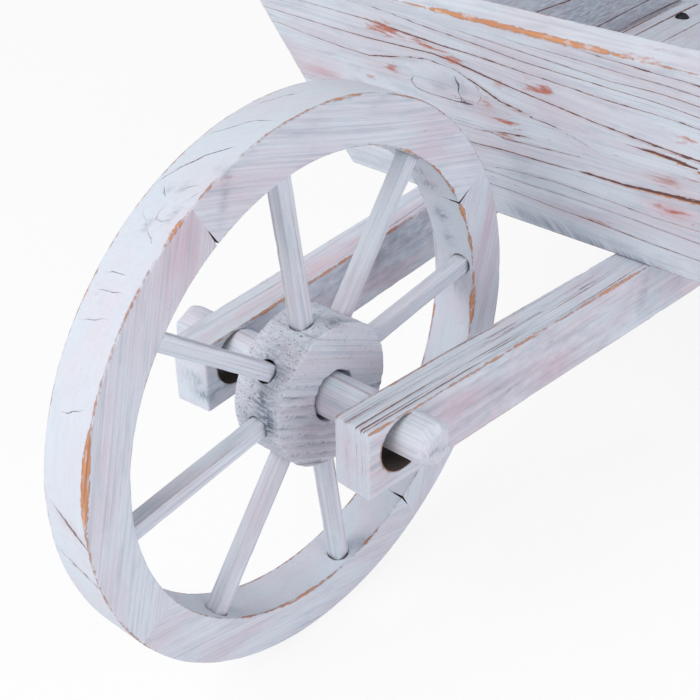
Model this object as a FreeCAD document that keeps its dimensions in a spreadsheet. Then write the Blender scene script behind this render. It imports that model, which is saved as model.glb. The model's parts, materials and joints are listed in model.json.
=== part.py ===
import FreeCAD, Part
import os

import Sketcher

# Decorative garden wheelbarrow: a spoked wooden wheel in two splayed rails that carry a flared planter tray.
# Millimetres, +Z up, +X from the wheel to the handles, +Y to the left. The ground is z = 0.

doc = FreeCAD.newDocument("decorative_wheelbarrow")
sheet = doc.addObject("Spreadsheet::Sheet", "sizes")

SIZES = {
    # wheel
    "wheel_radius": 130,
    "rim_depth": 23,
    "rim_width": 24,
    "rim_mortise_depth": 9,
    "hub_radius": 34,
    "hub_length": 27,
    "hub_offset": 3.8,
    "hub_bevel": 1.2,
    "hub_mortise_depth": 11,
    "spoke_side": 8,
    "axle_diameter": 21,
    "axle_end": 15,
    "axle_bevel": 2.5,
    "dowel_diameter": 8,
    "dowel_length": 30,
    "wheel_phase": 8,
    # rails
    "rail_thickness": 20,
    "rail_height": 34,
    "rail_gap": 79,
    "rail_splay": 4.1,
    "rail_front_reach": 24,
    "handle_length": 234,
    "axle_hole_play": 5.4,
    "axle_hole_rise": 3,
    "grip_length": 125,
    "grip_taper": 30,
    "grip_top_drop": 2,
    "grip_bottom_rise": 8,
    "grip_bevel": 6,
    # stand and crossbars
    "leg_inset": 96,
    "leg_width": 34,
    "leg_thickness": 20,
    "leg_toe_bevel": 5,
    "stretcher_width": 20,
    "stretcher_height": 30,
    "stretcher_rise": 50,
    "crossbar_width": 20,
    "front_crossbar_inset": 72,
    "rear_crossbar_inset": 24,
    # tray
    "tray_clearance": 38,
    "tray_length": 368,
    "tray_overhang": 20.5,
    "tray_flare": 20,
    "wall_height": 123,
    "wall_thickness": 15,
    "floor_thickness": 13,
    "floor_board_gap": 2,
    # fasteners
    "screw_length": 32,
    "screw_diameter": 4,
    "screw_head_diameter": 10,
    "screw_head_height": 3.2,
    "screw_point": 6,
    "screw_slot_width": 1.1,
    "screw_slot_length": 5,
    "screw_slot_depth": 1.2,
    "floor_screw_setback": 52,
    "leg_screw_spacing": 16,
    "brad_diameter": 1.8,
    "brad_length": 36,
    "brad_sink": 1,
    # clearances
    "glue_gap": 0.3,
    "running_gap": 0.4,
    "screw_gap": 0.2,
    "brad_gap": 0.1,
    "seat_gap": 0.3,
    "overrun": 5,
}
for row, (alias, value) in enumerate(SIZES.items(), start=1):
    sheet.set(f"A{row}", str(value))
    sheet.setAlias(f"A{row}", alias)
doc.recompute()

FELLOES = 4
SPOKES = 8
FLOOR_BOARDS = ("right", "middle", "left")
SIDES = {"left": 1, "right": -1}
ENDS = {"front": -1, "rear": 1}
CORNER_BRAD_HEIGHT_SHARES = (0.2, 0.5, 0.8)
SIDE_BRAD_LENGTH_SHARES = (-0.6, 0, 0.6)

# Places that several pieces share, as expressions over the sheet.
RIM_INNER = "(sizes.wheel_radius - sizes.rim_depth)"
SPOKE_HOLE_RADIUS = "(sizes.spoke_side / sqrt(2) + sizes.glue_gap)"
AXLE_HOLE_DROP = "(sizes.axle_hole_play / 2 - sizes.running_gap)"
RAIL_Z = f"(sizes.wheel_radius - {AXLE_HOLE_DROP} - sizes.axle_hole_rise)"
RAIL_TOP = f"({RAIL_Z} + sizes.rail_height / 2)"
RAIL_WALL = "(sizes.rail_thickness / cos(sizes.rail_splay))"
RAIL_MID_Y = f"(sizes.rail_gap / 2 + {RAIL_WALL} / 2)"
AXLE_LENGTH = f"(sizes.rail_gap + 2 * {RAIL_WALL} + 2 * sizes.axle_end)"
TRAY_SETBACK = "(sizes.wheel_radius + sizes.tray_clearance)"
TRAY_END = f"({TRAY_SETBACK} + sizes.tray_length)"
TRAY_HALF_LENGTH = "(sizes.tray_length / 2)"
TRAY_HALF_WIDTH = (
    f"(sizes.rail_gap / 2 + {TRAY_END} * tan(sizes.rail_splay) + {RAIL_WALL} + sizes.tray_overhang)"
)
RAIL_REACH = f"({TRAY_END} / cos(sizes.rail_splay) + sizes.handle_length)"
RAIL_REAR_X = f"({RAIL_REACH} * cos(sizes.rail_splay) + sizes.rail_thickness / 2 * sin(sizes.rail_splay))"
AXLE_X = f"((sizes.wheel_radius - {RAIL_REAR_X}) / 2)"
LEG_STATION = f"(({TRAY_END} - sizes.leg_inset) / cos(sizes.rail_splay))"
CROSSBAR_STATIONS = {
    "front": f"(({TRAY_SETBACK} + sizes.front_crossbar_inset) / cos(sizes.rail_splay))",
    "rear": f"(({TRAY_END} - sizes.rear_crossbar_inset) / cos(sizes.rail_splay))",
}
FLOOR_SCREW_STATIONS = {
    "front": f"(({TRAY_SETBACK} + sizes.floor_screw_setback) / cos(sizes.rail_splay))",
    "rear": f"(({TRAY_END} - sizes.floor_screw_setback) / cos(sizes.rail_splay))",
}
GRIP_BOTTOM = "(-sizes.rail_height / 2 + sizes.grip_bottom_rise)"
GRIP_TOP = "(sizes.rail_height / 2 - sizes.grip_top_drop)"
TRAY_X = f"({AXLE_X} + {TRAY_SETBACK} + {TRAY_HALF_LENGTH})"
WALL_FOOT = "(sizes.wall_thickness / cos(sizes.tray_flare))"
WALL_OUTER_TOP = "(sizes.wall_height * cos(sizes.tray_flare))"
WALL_INNER_TOP = f"({WALL_OUTER_TOP} + sizes.wall_thickness * sin(sizes.tray_flare))"
FLOOR_HALF_LENGTH = f"({TRAY_HALF_LENGTH} - {WALL_FOOT} - sizes.seat_gap)"
FLOOR_HALF_WIDTH = f"({TRAY_HALF_WIDTH} - {WALL_FOOT} - sizes.seat_gap)"
FLOOR_BOARD_GAPS = f"({len(FLOOR_BOARDS) - 1} * sizes.floor_board_gap)"
FLOOR_BOARD_WIDTH = f"((2 * {FLOOR_HALF_WIDTH} - {FLOOR_BOARD_GAPS}) / {len(FLOOR_BOARDS)})"


def place(x=0, y=0, z=0, axis=(0, 0, 1), angle=0):
    """A placement expression: a turn about one axis, then a shift."""
    turn = f"rotation(vector({axis[0]}; {axis[1]}; {axis[2]}); {angle})"
    return f"placement(vector({x}; {y}; {z}); {turn})"


def wheel_frame(angle):
    """The axle's frame, turned so that its X is the radius at this angle above the horizontal."""
    return place(AXLE_X, 0, "sizes.wheel_radius", (0, 1, 0), f"-({angle})")


def rail_frame(side):
    """A rail's own frame: X along the rail from the axle, Y across it, Z up from its middle line."""
    return place(AXLE_X, f"{side} * {RAIL_MID_Y}", RAIL_Z, (0, 0, 1), f"{side} * sizes.rail_splay")


TRAY_FRAME = place(TRAY_X, 0, RAIL_TOP)
FRAME_ORIGIN = place(AXLE_X, 0, RAIL_Z)


def put(item, placement):
    """Binds an object's place to the sheet."""
    item.setExpression("Placement", placement)
    return item


def named(item, label):
    """Gives a sub-part the name of its file."""
    item.Label = label
    return item


def solid(kind, name, placement, **sizes):
    """One Part primitive with its sizes and place bound to the sheet."""
    item = doc.addObject(f"Part::{kind}", name)
    for size, expression in sizes.items():
        item.setExpression(size, expression)
    return put(item, placement)


def group(name, items):
    """Separate solids kept together in one object."""
    item = doc.addObject("Part::Compound", name)
    item.Links = items
    return item


def cut(name, base, tools):
    """The base with every tool taken out of it."""
    item = doc.addObject("Part::Cut", name)
    item.Base = base
    item.Tool = tools[0] if len(tools) == 1 else group(f"{name}_holes", tools)
    return item


def origin(body, role):
    """A body's own plane or axis."""
    return next(item for item in body.Origin.OriginFeatures if item.Role == role)


def new_sketch(body, plane, name):
    """An empty sketch on one of the body's own planes."""
    sketch = body.newObject("Sketcher::SketchObject", name)
    sketch.AttachmentSupport = [(origin(body, plane), "")]
    sketch.MapMode = "FlatFace"
    return sketch


def number(expression):
    """What an expression comes to with the sheet as it is."""
    return float(sheet.evalExpression(expression))


def add_outline(sketch, points):
    """A closed outline of straight runs whose corners are bound to expressions."""
    first = sketch.GeometryCount
    count = len(points)
    spots = [FreeCAD.Vector(number(x), number(y), 0) for x, y in points]
    for index in range(count):
        sketch.addGeometry(Part.LineSegment(spots[index], spots[(index + 1) % count]))
    for index in range(count):
        follower = first + (index + 1) % count
        sketch.addConstraint(Sketcher.Constraint("Coincident", first + index, 2, follower, 1))
    for index, corner in enumerate(points):
        for kind, expression in zip(("DistanceX", "DistanceY"), corner):
            datum = Sketcher.Constraint(kind, -1, 1, first + index, 1, number(expression))
            sketch.setExpression(f"Constraints[{sketch.addConstraint(datum)}]", expression)


def add_circle(sketch, radius):
    """A circle about the sketch's origin with its radius bound to an expression."""
    index = sketch.addGeometry(Part.Circle(FreeCAD.Vector(), FreeCAD.Vector(0, 0, 1), number(radius)))
    sketch.addConstraint(Sketcher.Constraint("Coincident", index, 3, -1, 1))
    datum = sketch.addConstraint(Sketcher.Constraint("Radius", index, number(radius)))
    sketch.setExpression(f"Constraints[{datum}]", radius)


def pad(body, sketch, length):
    """A pad that grows evenly to both sides of its sketch."""
    item = body.newObject("PartDesign::Pad", f"{sketch.Name}_pad")
    item.Profile = sketch
    item.SideType = "Symmetric"
    item.setExpression("Length", length)
    return item


def pocket_through(body, sketch):
    """A pocket through everything on both sides of its sketch."""
    item = body.newObject("PartDesign::Pocket", f"{sketch.Name}_pocket")
    item.Profile = sketch
    item.SideType = "Symmetric"
    item.Type = "ThroughAll"
    return item


def prism(name, plane, points, length, placement):
    """A body with one outline padded evenly to both sides."""
    body = doc.addObject("PartDesign::Body", name)
    sketch = new_sketch(body, plane, f"{name}_outline")
    add_outline(sketch, points)
    pad(body, sketch, length)
    return put(body, placement)


def rim_felloes():
    """Quarter rings, each drilled for two spokes and for half of a dowel at each end."""
    span = f"(360 / {FELLOES})"
    joints = [f"sizes.wheel_phase + 180 / {SPOKES} + {index} * {span}" for index in range(FELLOES)]
    pieces = []
    for index, joint in enumerate(joints):
        name = f"felloe_{index + 1}"
        lie = f"{wheel_frame(joint)} * {place(0, 'sizes.rim_width / 2', 0, (1, 0, 0), 90)}"
        quarter = solid(
            "Cylinder",
            f"{name}_quarter",
            lie,
            Radius="sizes.wheel_radius",
            Height="sizes.rim_width",
            Angle=span,
        )
        long_lie = place(0, "sizes.rim_width / 2 + sizes.overrun", 0, (1, 0, 0), 90)
        opening = solid(
            "Cylinder",
            f"{name}_opening",
            f"{wheel_frame(joint)} * {long_lie}",
            Radius=RIM_INNER,
            Height="sizes.rim_width + 2 * sizes.overrun",
        )
        tools = [opening]
        for turn in range(SPOKES // FELLOES):
            tools.append(
                solid(
                    "Cylinder",
                    f"{name}_mortise_{turn + 1}",
                    f"{wheel_frame(f'{joint} + 180 / {SPOKES} + {turn} * 360 / {SPOKES}')} * "
                    + place(f"{RIM_INNER} - sizes.overrun", "-sizes.hub_offset", 0, (0, 1, 0), 90),
                    Radius=SPOKE_HOLE_RADIUS,
                    Height="sizes.overrun + sizes.rim_mortise_depth",
                )
            )
        for end, angle in (("first", joint), ("last", f"{joint} + {span}")):
            tools.append(dowel(f"{name}_{end}_dowel_hole", angle, "sizes.glue_gap"))
        pieces.append(named(cut(name, quarter, tools), name))
    pegs = [dowel(f"felloe_dowel_{index + 1}", joint, "0") for index, joint in enumerate(joints)]
    pieces.append(named(group("felloe_dowels", pegs), "felloe_dowels"))
    return pieces


def dowel(name, joint, spare):
    """A round peg across a rim joint, in the middle of the rim, larger by the spare all round."""
    half = f"(sizes.dowel_length / 2 + {spare})"
    lie = f"{wheel_frame(joint)} * {place('sizes.wheel_radius - sizes.rim_depth / 2', 0, f'-{half}')}"
    return solid("Cylinder", name, lie, Radius=f"sizes.dowel_diameter / 2 + {spare}", Height=f"2 * {half}")


def spokes():
    """Square bars from the hub's mortises to the rim's, set with the hub to the right of the rim's middle."""
    inner = "(sizes.hub_radius - sizes.hub_mortise_depth + sizes.glue_gap)"
    outer = f"({RIM_INNER} + sizes.rim_mortise_depth - sizes.glue_gap)"
    side = "sizes.spoke_side"
    pieces = []
    for index in range(SPOKES):
        lie = f"{wheel_frame(f'sizes.wheel_phase + {index} * 360 / {SPOKES}')} * "
        lie += place(inner, f"-{side} / 2 - sizes.hub_offset", f"-{side} / 2")
        name = f"spoke_{index + 1}"
        bar = solid("Box", name, lie, Length=f"{outer} - {inner}", Width=side, Height=side)
        pieces.append(named(bar, name))
    return pieces


def hub():
    """A bored round block with a drilled mortise for every spoke."""
    body = doc.addObject("PartDesign::Body", "hub")
    section = new_sketch(body, "XZ_Plane", "hub_section")
    add_circle(section, "sizes.hub_radius")
    add_circle(section, "sizes.axle_diameter / 2 + sizes.glue_gap")
    block = pad(body, section, "sizes.hub_length")
    doc.recompute()
    between = number("(sizes.hub_radius + sizes.axle_diameter / 2) / 2")
    rims = [
        f"Edge{index}"
        for index, edge in enumerate(block.Shape.Edges, start=1)
        if getattr(edge.Curve, "Radius", 0) > between
    ]
    bevel = body.newObject("PartDesign::Chamfer", "hub_bevels")
    bevel.Base = (block, rims)
    bevel.setExpression("Size", "sizes.hub_bevel")
    mouth = new_sketch(body, "YZ_Plane", "hub_mortise")
    mouth.setExpression("AttachmentOffset", place(0, 0, "sizes.hub_radius - sizes.hub_mortise_depth"))
    add_circle(mouth, SPOKE_HOLE_RADIUS)
    doc.recompute()
    mortise = body.newObject("PartDesign::Pocket", "hub_mortise_pocket")
    mortise.Profile = mouth
    mortise.Type = "ThroughAll"
    mortise.Reversed = True
    ring = body.newObject("PartDesign::PolarPattern", "hub_mortise_ring")
    ring.Originals = [mortise]
    ring.Axis = (origin(body, "Y_Axis"), [""])
    ring.Angle = 360
    ring.Occurrences = SPOKES
    body.Tip = ring
    lie = f"{wheel_frame('sizes.wheel_phase')} * {place(0, '-sizes.hub_offset', 0)}"
    return named(put(body, lie), "hub")


def axle():
    """A round bar with bevelled ends, glued in the hub and loose in the rails."""
    radius = "sizes.axle_diameter / 2"
    half = f"{AXLE_LENGTH} / 2"
    points = [
        ("0", f"-{half}"),
        (f"{radius} - sizes.axle_bevel", f"-{half}"),
        (radius, f"-{half} + sizes.axle_bevel"),
        (radius, f"{half} - sizes.axle_bevel"),
        (f"{radius} - sizes.axle_bevel", half),
        ("0", half),
    ]
    body = doc.addObject("PartDesign::Body", "axle")
    profile = new_sketch(body, "XY_Plane", "axle_profile")
    add_outline(profile, points)
    turned = body.newObject("PartDesign::Revolution", "axle_turned")
    turned.Profile = profile
    turned.ReferenceAxis = (origin(body, "Y_Axis"), [""])
    turned.Angle = 360
    return named(put(body, wheel_frame("sizes.wheel_phase")), "axle")


def screw():
    """One black domed wood screw: its seat is z = 0, the head is above and the point below."""
    head_radius = "(sizes.screw_head_diameter / 2)"
    dome = f"(({head_radius} ^ 2 + sizes.screw_head_height ^ 2) / (2 * sizes.screw_head_height))"
    rise = f"({dome} - sizes.screw_head_height)"
    shank = "(sizes.screw_length - sizes.screw_point)"
    radius = "sizes.screw_diameter / 2"
    low = f"asin({rise} / {dome})"
    tip = place(0, 0, "-sizes.screw_length")
    head = solid("Sphere", "screw_dome", place(0, 0, f"-{rise}"), Radius=dome, Angle1=low)
    core = solid("Cylinder", "screw_shank", place(0, 0, f"-{shank}"), Radius=radius, Height=shank)
    point = solid("Cone", "screw_tip", tip, Radius1="0", Radius2=radius, Height="sizes.screw_point")
    whole = doc.addObject("Part::MultiFuse", "screw_blank")
    whole.Shapes = [head, core, point]
    depth = "sizes.screw_head_height - sizes.screw_slot_depth"
    slots = [
        solid(
            "Box",
            f"screw_slot_{angle}",
            f"{place(0, 0, depth, (0, 0, 1), angle)} * "
            + place("-sizes.screw_slot_length / 2", "-sizes.screw_slot_width / 2", 0),
            Length="sizes.screw_slot_length",
            Width="sizes.screw_slot_width",
            Height="sizes.screw_slot_depth + sizes.overrun",
        )
        for angle in (0, 90)
    ]
    cross = doc.addObject("Part::MultiFuse", "screw_cross")
    cross.Shapes = slots
    return cut("wood_screw", whole, [cross])


def screw_hole(name, placement):
    """The hole that a screw at this place needs in whatever it passes through."""
    lie = f"{placement} * {place(0, 0, '-sizes.screw_length - sizes.screw_gap')}"
    return solid(
        "Cylinder",
        name,
        lie,
        Radius="sizes.screw_diameter / 2 + sizes.screw_gap",
        Height="sizes.screw_length + sizes.screw_gap + sizes.overrun",
    )


def screw_set(label, pattern, places):
    """Copies of the screw at named places, in one object."""
    copies = []
    for name, placement in places.items():
        copy = doc.addObject("App::Link", f"{label}_{name}")
        copy.LinkedObject = pattern
        copies.append(put(copy, placement))
    return named(group(label, copies), label)


def rail_screw_places():
    """Where the screws go, each in its rail's frame, seat outwards or upwards."""
    top = "sizes.rail_height / 2 + sizes.floor_thickness"
    places = {"floor": {}, "leg": {}, "bar": {}, "stretcher": {}}
    for hand, side in SIDES.items():
        rail = rail_frame(side)
        outwards = ((1, 0, 0), f"-90 * {side}")
        face = f"{side} * sizes.rail_thickness / 2"
        leg_face = f"{side} * (sizes.rail_thickness / 2 + sizes.leg_thickness)"
        for end, station in FLOOR_SCREW_STATIONS.items():
            places["floor"][f"{hand}_{end}"] = f"{rail} * {place(station, 0, top)}"
        for level, sign in (("upper", 1), ("lower", -1)):
            spot = place(LEG_STATION, leg_face, f"{sign} * sizes.leg_screw_spacing / 2", *outwards)
            places["leg"][f"{hand}_{level}"] = f"{rail} * {spot}"
        for end, station in CROSSBAR_STATIONS.items():
            places["bar"][f"{hand}_{end}"] = f"{rail} * {place(station, face, 0, *outwards)}"
        low = f"sizes.stretcher_rise - {RAIL_Z}"
        places["stretcher"][hand] = f"{rail} * {place(LEG_STATION, leg_face, low, *outwards)}"
    return places


def rails(places):
    """Long bars: a loose hole for the axle in front, a tapered and rounded grip behind."""
    half = "sizes.rail_height / 2"
    grip = f"{RAIL_REACH} - sizes.grip_length"
    taper = f"{grip} - sizes.grip_taper"
    front = "-sizes.rail_front_reach"
    points = [
        (front, f"-{half}"),
        (taper, f"-{half}"),
        (grip, GRIP_BOTTOM),
        (grip, GRIP_TOP),
        (taper, half),
        (front, half),
    ]
    pieces = []
    for hand, side in SIDES.items():
        name = f"rail_{hand}"
        bar = prism(f"{name}_bar", "XZ_Plane", points, "sizes.rail_thickness", rail_frame(side))
        add_grip(bar)
        lie = f"{rail_frame(side)} * "
        lie += place(0, "sizes.rail_thickness / 2 + sizes.overrun", "sizes.axle_hole_rise", (1, 0, 0), 90)
        tools = [
            solid(
                "Cylinder",
                f"{name}_axle_hole",
                lie,
                Radius="(sizes.axle_diameter + sizes.axle_hole_play) / 2",
                Height="sizes.rail_thickness + 2 * sizes.overrun",
            )
        ]
        for use in ("floor", "leg", "bar"):
            for spot, placement in places[use].items():
                if spot.startswith(hand):
                    tools.append(screw_hole(f"{name}_{use}_hole_{spot}", placement))
        pieces.append(named(cut(name, bar, tools), name))
    return pieces


def add_grip(bar):
    """The handle at a rail's rear end: a narrower bar with its long edges planed off."""
    half = "sizes.rail_thickness / 2"
    bevel = "sizes.grip_bevel"
    section = new_sketch(bar, "YZ_Plane", f"{bar.Name}_grip_section")
    section.setExpression("AttachmentOffset", place(0, 0, f"{RAIL_REACH} - sizes.grip_length"))
    corners = [
        (f"-{half} + {bevel}", GRIP_BOTTOM),
        (f"{half} - {bevel}", GRIP_BOTTOM),
        (half, f"{GRIP_BOTTOM} + {bevel}"),
        (half, f"{GRIP_TOP} - {bevel}"),
        (f"{half} - {bevel}", GRIP_TOP),
        (f"-{half} + {bevel}", GRIP_TOP),
        (f"-{half}", f"{GRIP_TOP} - {bevel}"),
        (f"-{half}", f"{GRIP_BOTTOM} + {bevel}"),
    ]
    add_outline(section, corners)
    handle = bar.newObject("PartDesign::Pad", f"{bar.Name}_grip")
    handle.Profile = section
    handle.setExpression("Length", "sizes.grip_length")


def rail_inner_y(x):
    """How far the inner face of a rail is from the middle, at a distance behind the axle."""
    return f"(sizes.rail_gap / 2 + ({x}) * tan(sizes.rail_splay))"


def between_rails(name, station, width, reach, height, placement):
    """A bar across the frame, its ends cut to the splay of what it joins."""
    middle = f"{station} * cos(sizes.rail_splay)"
    corners = []
    for sign_x, sign_y in ((-1, -1), (1, -1), (1, 1), (-1, 1)):
        x = f"{middle} + {sign_x} * {width} / 2"
        corners.append((x, f"{sign_y} * ({rail_inner_y(x)} + {reach})"))
    return prism(name, "XY_Plane", corners, height, placement)


def crossbars(places):
    """Two bars between the rails, flush with their tops and carrying the floor."""
    pieces = []
    for end, station in CROSSBAR_STATIONS.items():
        name = f"{end}_crossbar"
        bar = between_rails(
            f"{name}_bar",
            station,
            "sizes.crossbar_width",
            "0",
            "sizes.rail_height",
            FRAME_ORIGIN,
        )
        tools = [
            screw_hole(f"{name}_hole_{spot}", placement)
            for spot, placement in places["bar"].items()
            if spot.endswith(end)
        ]
        pieces.append(named(cut(name, bar, tools), name))
    return pieces


def stand(places):
    """Two legs on the outer faces of the rails and a stretcher between them."""
    half = "sizes.leg_width / 2"
    toe = "sizes.leg_toe_bevel"
    points = [
        (f"-{half} + {toe}", f"-{RAIL_Z}"),
        (f"{half} - {toe}", f"-{RAIL_Z}"),
        (half, f"-{RAIL_Z} + {toe}"),
        (half, "sizes.rail_height / 2"),
        (f"-{half}", "sizes.rail_height / 2"),
        (f"-{half}", f"-{RAIL_Z} + {toe}"),
    ]
    pieces = []
    for hand, side in SIDES.items():
        name = f"leg_{hand}"
        across = f"{side} * (sizes.rail_thickness + sizes.leg_thickness) / 2"
        lie = f"{rail_frame(side)} * {place(LEG_STATION, across, 0)}"
        bar = prism(f"{name}_bar", "XZ_Plane", points, "sizes.leg_thickness", lie)
        spots = {**places["leg"], **places["stretcher"]}
        tools = [
            screw_hole(f"{name}_hole_{spot}", placement)
            for spot, placement in spots.items()
            if spot.startswith(hand)
        ]
        pieces.append(named(cut(name, bar, tools), name))
    bar = between_rails(
        "leg_stretcher_bar",
        LEG_STATION,
        "sizes.stretcher_width",
        RAIL_WALL,
        "sizes.stretcher_height",
        place(AXLE_X, 0, "sizes.stretcher_rise"),
    )
    tools = [
        screw_hole(f"leg_stretcher_hole_{hand}", placement) for hand, placement in places["stretcher"].items()
    ]
    pieces.append(named(cut("leg_stretcher", bar, tools), "leg_stretcher"))
    return pieces


def brad_places():
    """Where the brads go in the tray's frame: name, placement, and the boards that each one pins."""
    inwards = {"x": ((0, 1, 0), -90), "y": ((1, 0, 0), 90)}
    places = {}
    for end, way in ENDS.items():
        axis, angle = inwards["x"]
        turn = (axis, f"{way} * {angle}")
        for hand, side in SIDES.items():
            for level, share in enumerate(CORNER_BRAD_HEIGHT_SHARES, start=1):
                z = f"({share} * {WALL_OUTER_TOP})"
                x = f"{way} * ({TRAY_HALF_LENGTH} + {z} * tan(sizes.tray_flare) - sizes.brad_sink)"
                y = f"{side} * ({TRAY_HALF_WIDTH} + {z} * tan(sizes.tray_flare) - {WALL_FOOT} / 2)"
                pinned = (f"{end}_board", f"side_board_{hand}")
                places[f"{end}_{hand}_{level}"] = (place(x, y, z, *turn), pinned)
        for step, board in enumerate(FLOOR_BOARDS):
            z = "(sizes.floor_thickness / 2)"
            x = f"{way} * ({TRAY_HALF_LENGTH} + {z} * tan(sizes.tray_flare) - sizes.brad_sink)"
            boards_off_middle = step - (len(FLOOR_BOARDS) - 1) / 2
            y = f"{boards_off_middle} * ({FLOOR_BOARD_WIDTH} + sizes.floor_board_gap)"
            pinned = (f"{end}_board", f"floor_board_{board}")
            places[f"{end}_floor_{board}"] = (place(x, y, z, *turn), pinned)
    for hand, side in SIDES.items():
        axis, angle = inwards["y"]
        for step, share in enumerate(SIDE_BRAD_LENGTH_SHARES, start=1):
            z = "(sizes.floor_thickness / 2)"
            x = f"{share} * {TRAY_HALF_LENGTH}"
            y = f"{side} * ({TRAY_HALF_WIDTH} + {z} * tan(sizes.tray_flare) - sizes.brad_sink)"
            pinned = (f"side_board_{hand}", f"floor_board_{hand}")
            places[f"{hand}_floor_{step}"] = (place(x, y, z, axis, f"{side} * {angle}"), pinned)
    return places


def brad(name, placement, radius, before, beyond):
    """A straight pin that starts at its place and runs along its own Z."""
    lie = f"{TRAY_FRAME} * {placement} * {place(0, 0, f'-({before})')}"
    return solid("Cylinder", name, lie, Radius=radius, Height=f"sizes.brad_length + {before} + {beyond}")


def brad_holes(board, places):
    """The holes that the brads need in one board."""
    return [
        brad(
            f"{board}_brad_hole_{name}",
            placement,
            "sizes.brad_diameter / 2 + sizes.brad_gap",
            "sizes.overrun",
            "sizes.brad_gap",
        )
        for name, (placement, pinned) in places.items()
        if board in pinned
    ]


def wall_section(half, way):
    """A leaning board's cross-section: level foot, square top, the foot's outer edge at half."""
    lean = "sizes.wall_height * sin(sizes.tray_flare)"
    return [
        (f"{way} * ({half})", "0"),
        (f"{way} * ({half} + {lean})", WALL_OUTER_TOP),
        (f"{way} * ({half} + {lean} - sizes.wall_thickness * cos(sizes.tray_flare))", WALL_INNER_TOP),
        (f"{way} * ({half} - {WALL_FOOT})", "0"),
    ]


def trim_wall(body, plane, half, reach):
    """Cuts both ends of a wall of this reach to the lean of the walls that it meets."""
    low = "-sizes.overrun"
    high = f"({WALL_INNER_TOP} + sizes.overrun)"
    beyond = f"({reach} + 2 * sizes.overrun)"
    sketch = new_sketch(body, plane, f"{body.Name}_ends")
    for sign in (-1, 1):
        foot = f"{sign} * ({half} + {low} * tan(sizes.tray_flare))"
        head = f"{sign} * ({half} + {high} * tan(sizes.tray_flare))"
        outside = f"{sign} * {beyond}"
        add_outline(sketch, [(foot, low), (head, high), (outside, high), (outside, low)])
    pocket_through(body, sketch)


def tray_walls(places):
    """End boards that cover the ends of the side boards, all leaning outwards alike."""
    length, width = TRAY_HALF_LENGTH, TRAY_HALF_WIDTH
    inside = f"{length} - {WALL_FOOT}"
    plans = []
    for end, way in ENDS.items():
        plans.append((f"{end}_board", "XZ_Plane", length, way, "YZ_Plane", width, width))
    for hand, side in SIDES.items():
        plans.append((f"side_board_{hand}", "YZ_Plane", width, side, "XZ_Plane", length, inside))
    pieces = []
    for label, plane, half, way, end_plane, long_half, end_half in plans:
        reach = f"({long_half} + {WALL_INNER_TOP} * tan(sizes.tray_flare))"
        board = prism(f"{label}_blank", plane, wall_section(half, way), f"2 * {reach}", TRAY_FRAME)
        trim_wall(board, end_plane, end_half, reach)
        pieces.append(named(cut(label, board, brad_holes(label, places)), label))
    return pieces


def floor(screw_places, places):
    """Three boards laid lengthwise on the rails and crossbars, sawn square."""
    pieces = []
    for step, board in enumerate(FLOOR_BOARDS):
        label = f"floor_board_{board}"
        near = f"-{FLOOR_HALF_WIDTH} + {step} * ({FLOOR_BOARD_WIDTH} + sizes.floor_board_gap)"
        plank = solid(
            "Box",
            f"{label}_plank",
            f"{TRAY_FRAME} * {place(f'-{FLOOR_HALF_LENGTH}', near, 0)}",
            Length=f"2 * {FLOOR_HALF_LENGTH}",
            Width=FLOOR_BOARD_WIDTH,
            Height="sizes.floor_thickness",
        )
        tools = brad_holes(label, places)
        for spot, placement in screw_places["floor"].items():
            if spot.startswith(board):
                tools.append(screw_hole(f"{label}_hole_{spot}", placement))
        pieces.append(named(cut(label, plank, tools), label))
    return pieces


def tray_brads(places):
    """All the brads of the tray in one object."""
    pins = [
        brad(f"tray_brad_{name}", placement, "sizes.brad_diameter / 2", "0", "0")
        for name, (placement, pinned) in places.items()
    ]
    return named(group("tray_brads", pins), "tray_brads")


def fasteners(places):
    """The three sets of black screws."""
    pattern = screw()
    frame_places = {f"bar_{spot}": placement for spot, placement in places["bar"].items()}
    frame_places.update({f"stretcher_{hand}": placement for hand, placement in places["stretcher"].items()})
    return [
        screw_set("floor_screws", pattern, places["floor"]),
        screw_set("leg_screws", pattern, places["leg"]),
        screw_set("frame_screws", pattern, frame_places),
    ]


def build():
    """Every sub-part of the wheelbarrow."""
    screws_at = rail_screw_places()
    brads_at = brad_places()
    pieces = rim_felloes() + spokes() + [hub(), axle()]
    pieces += rails(screws_at) + crossbars(screws_at) + stand(screws_at)
    pieces += floor(screws_at, brads_at) + tray_walls(brads_at) + [tray_brads(brads_at)]
    return pieces + fasteners(screws_at)


def check(pieces):
    """Stops if anything failed to build."""
    for item in doc.Objects:
        if "Invalid" in item.State or "Error" in item.State:
            raise RuntimeError(f"{item.Name} did not build: {item.State}")
    for item in pieces:
        if item.Shape.isNull() or not item.Shape.isValid() or not item.Shape.Solids:
            raise RuntimeError(f"{item.Label} has no valid shape")


pieces = build()
doc.recompute()
check(pieces)
os.makedirs("parts", exist_ok=True)
for piece in pieces:
    piece.Shape.exportStep(os.path.join("parts", f"{piece.Label}.step"))
    print(piece.Label, len(piece.Shape.Solids), round(piece.Shape.Volume))
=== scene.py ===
import json
import math

import bpy
import numpy as np
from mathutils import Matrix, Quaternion, Vector, noise


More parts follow.
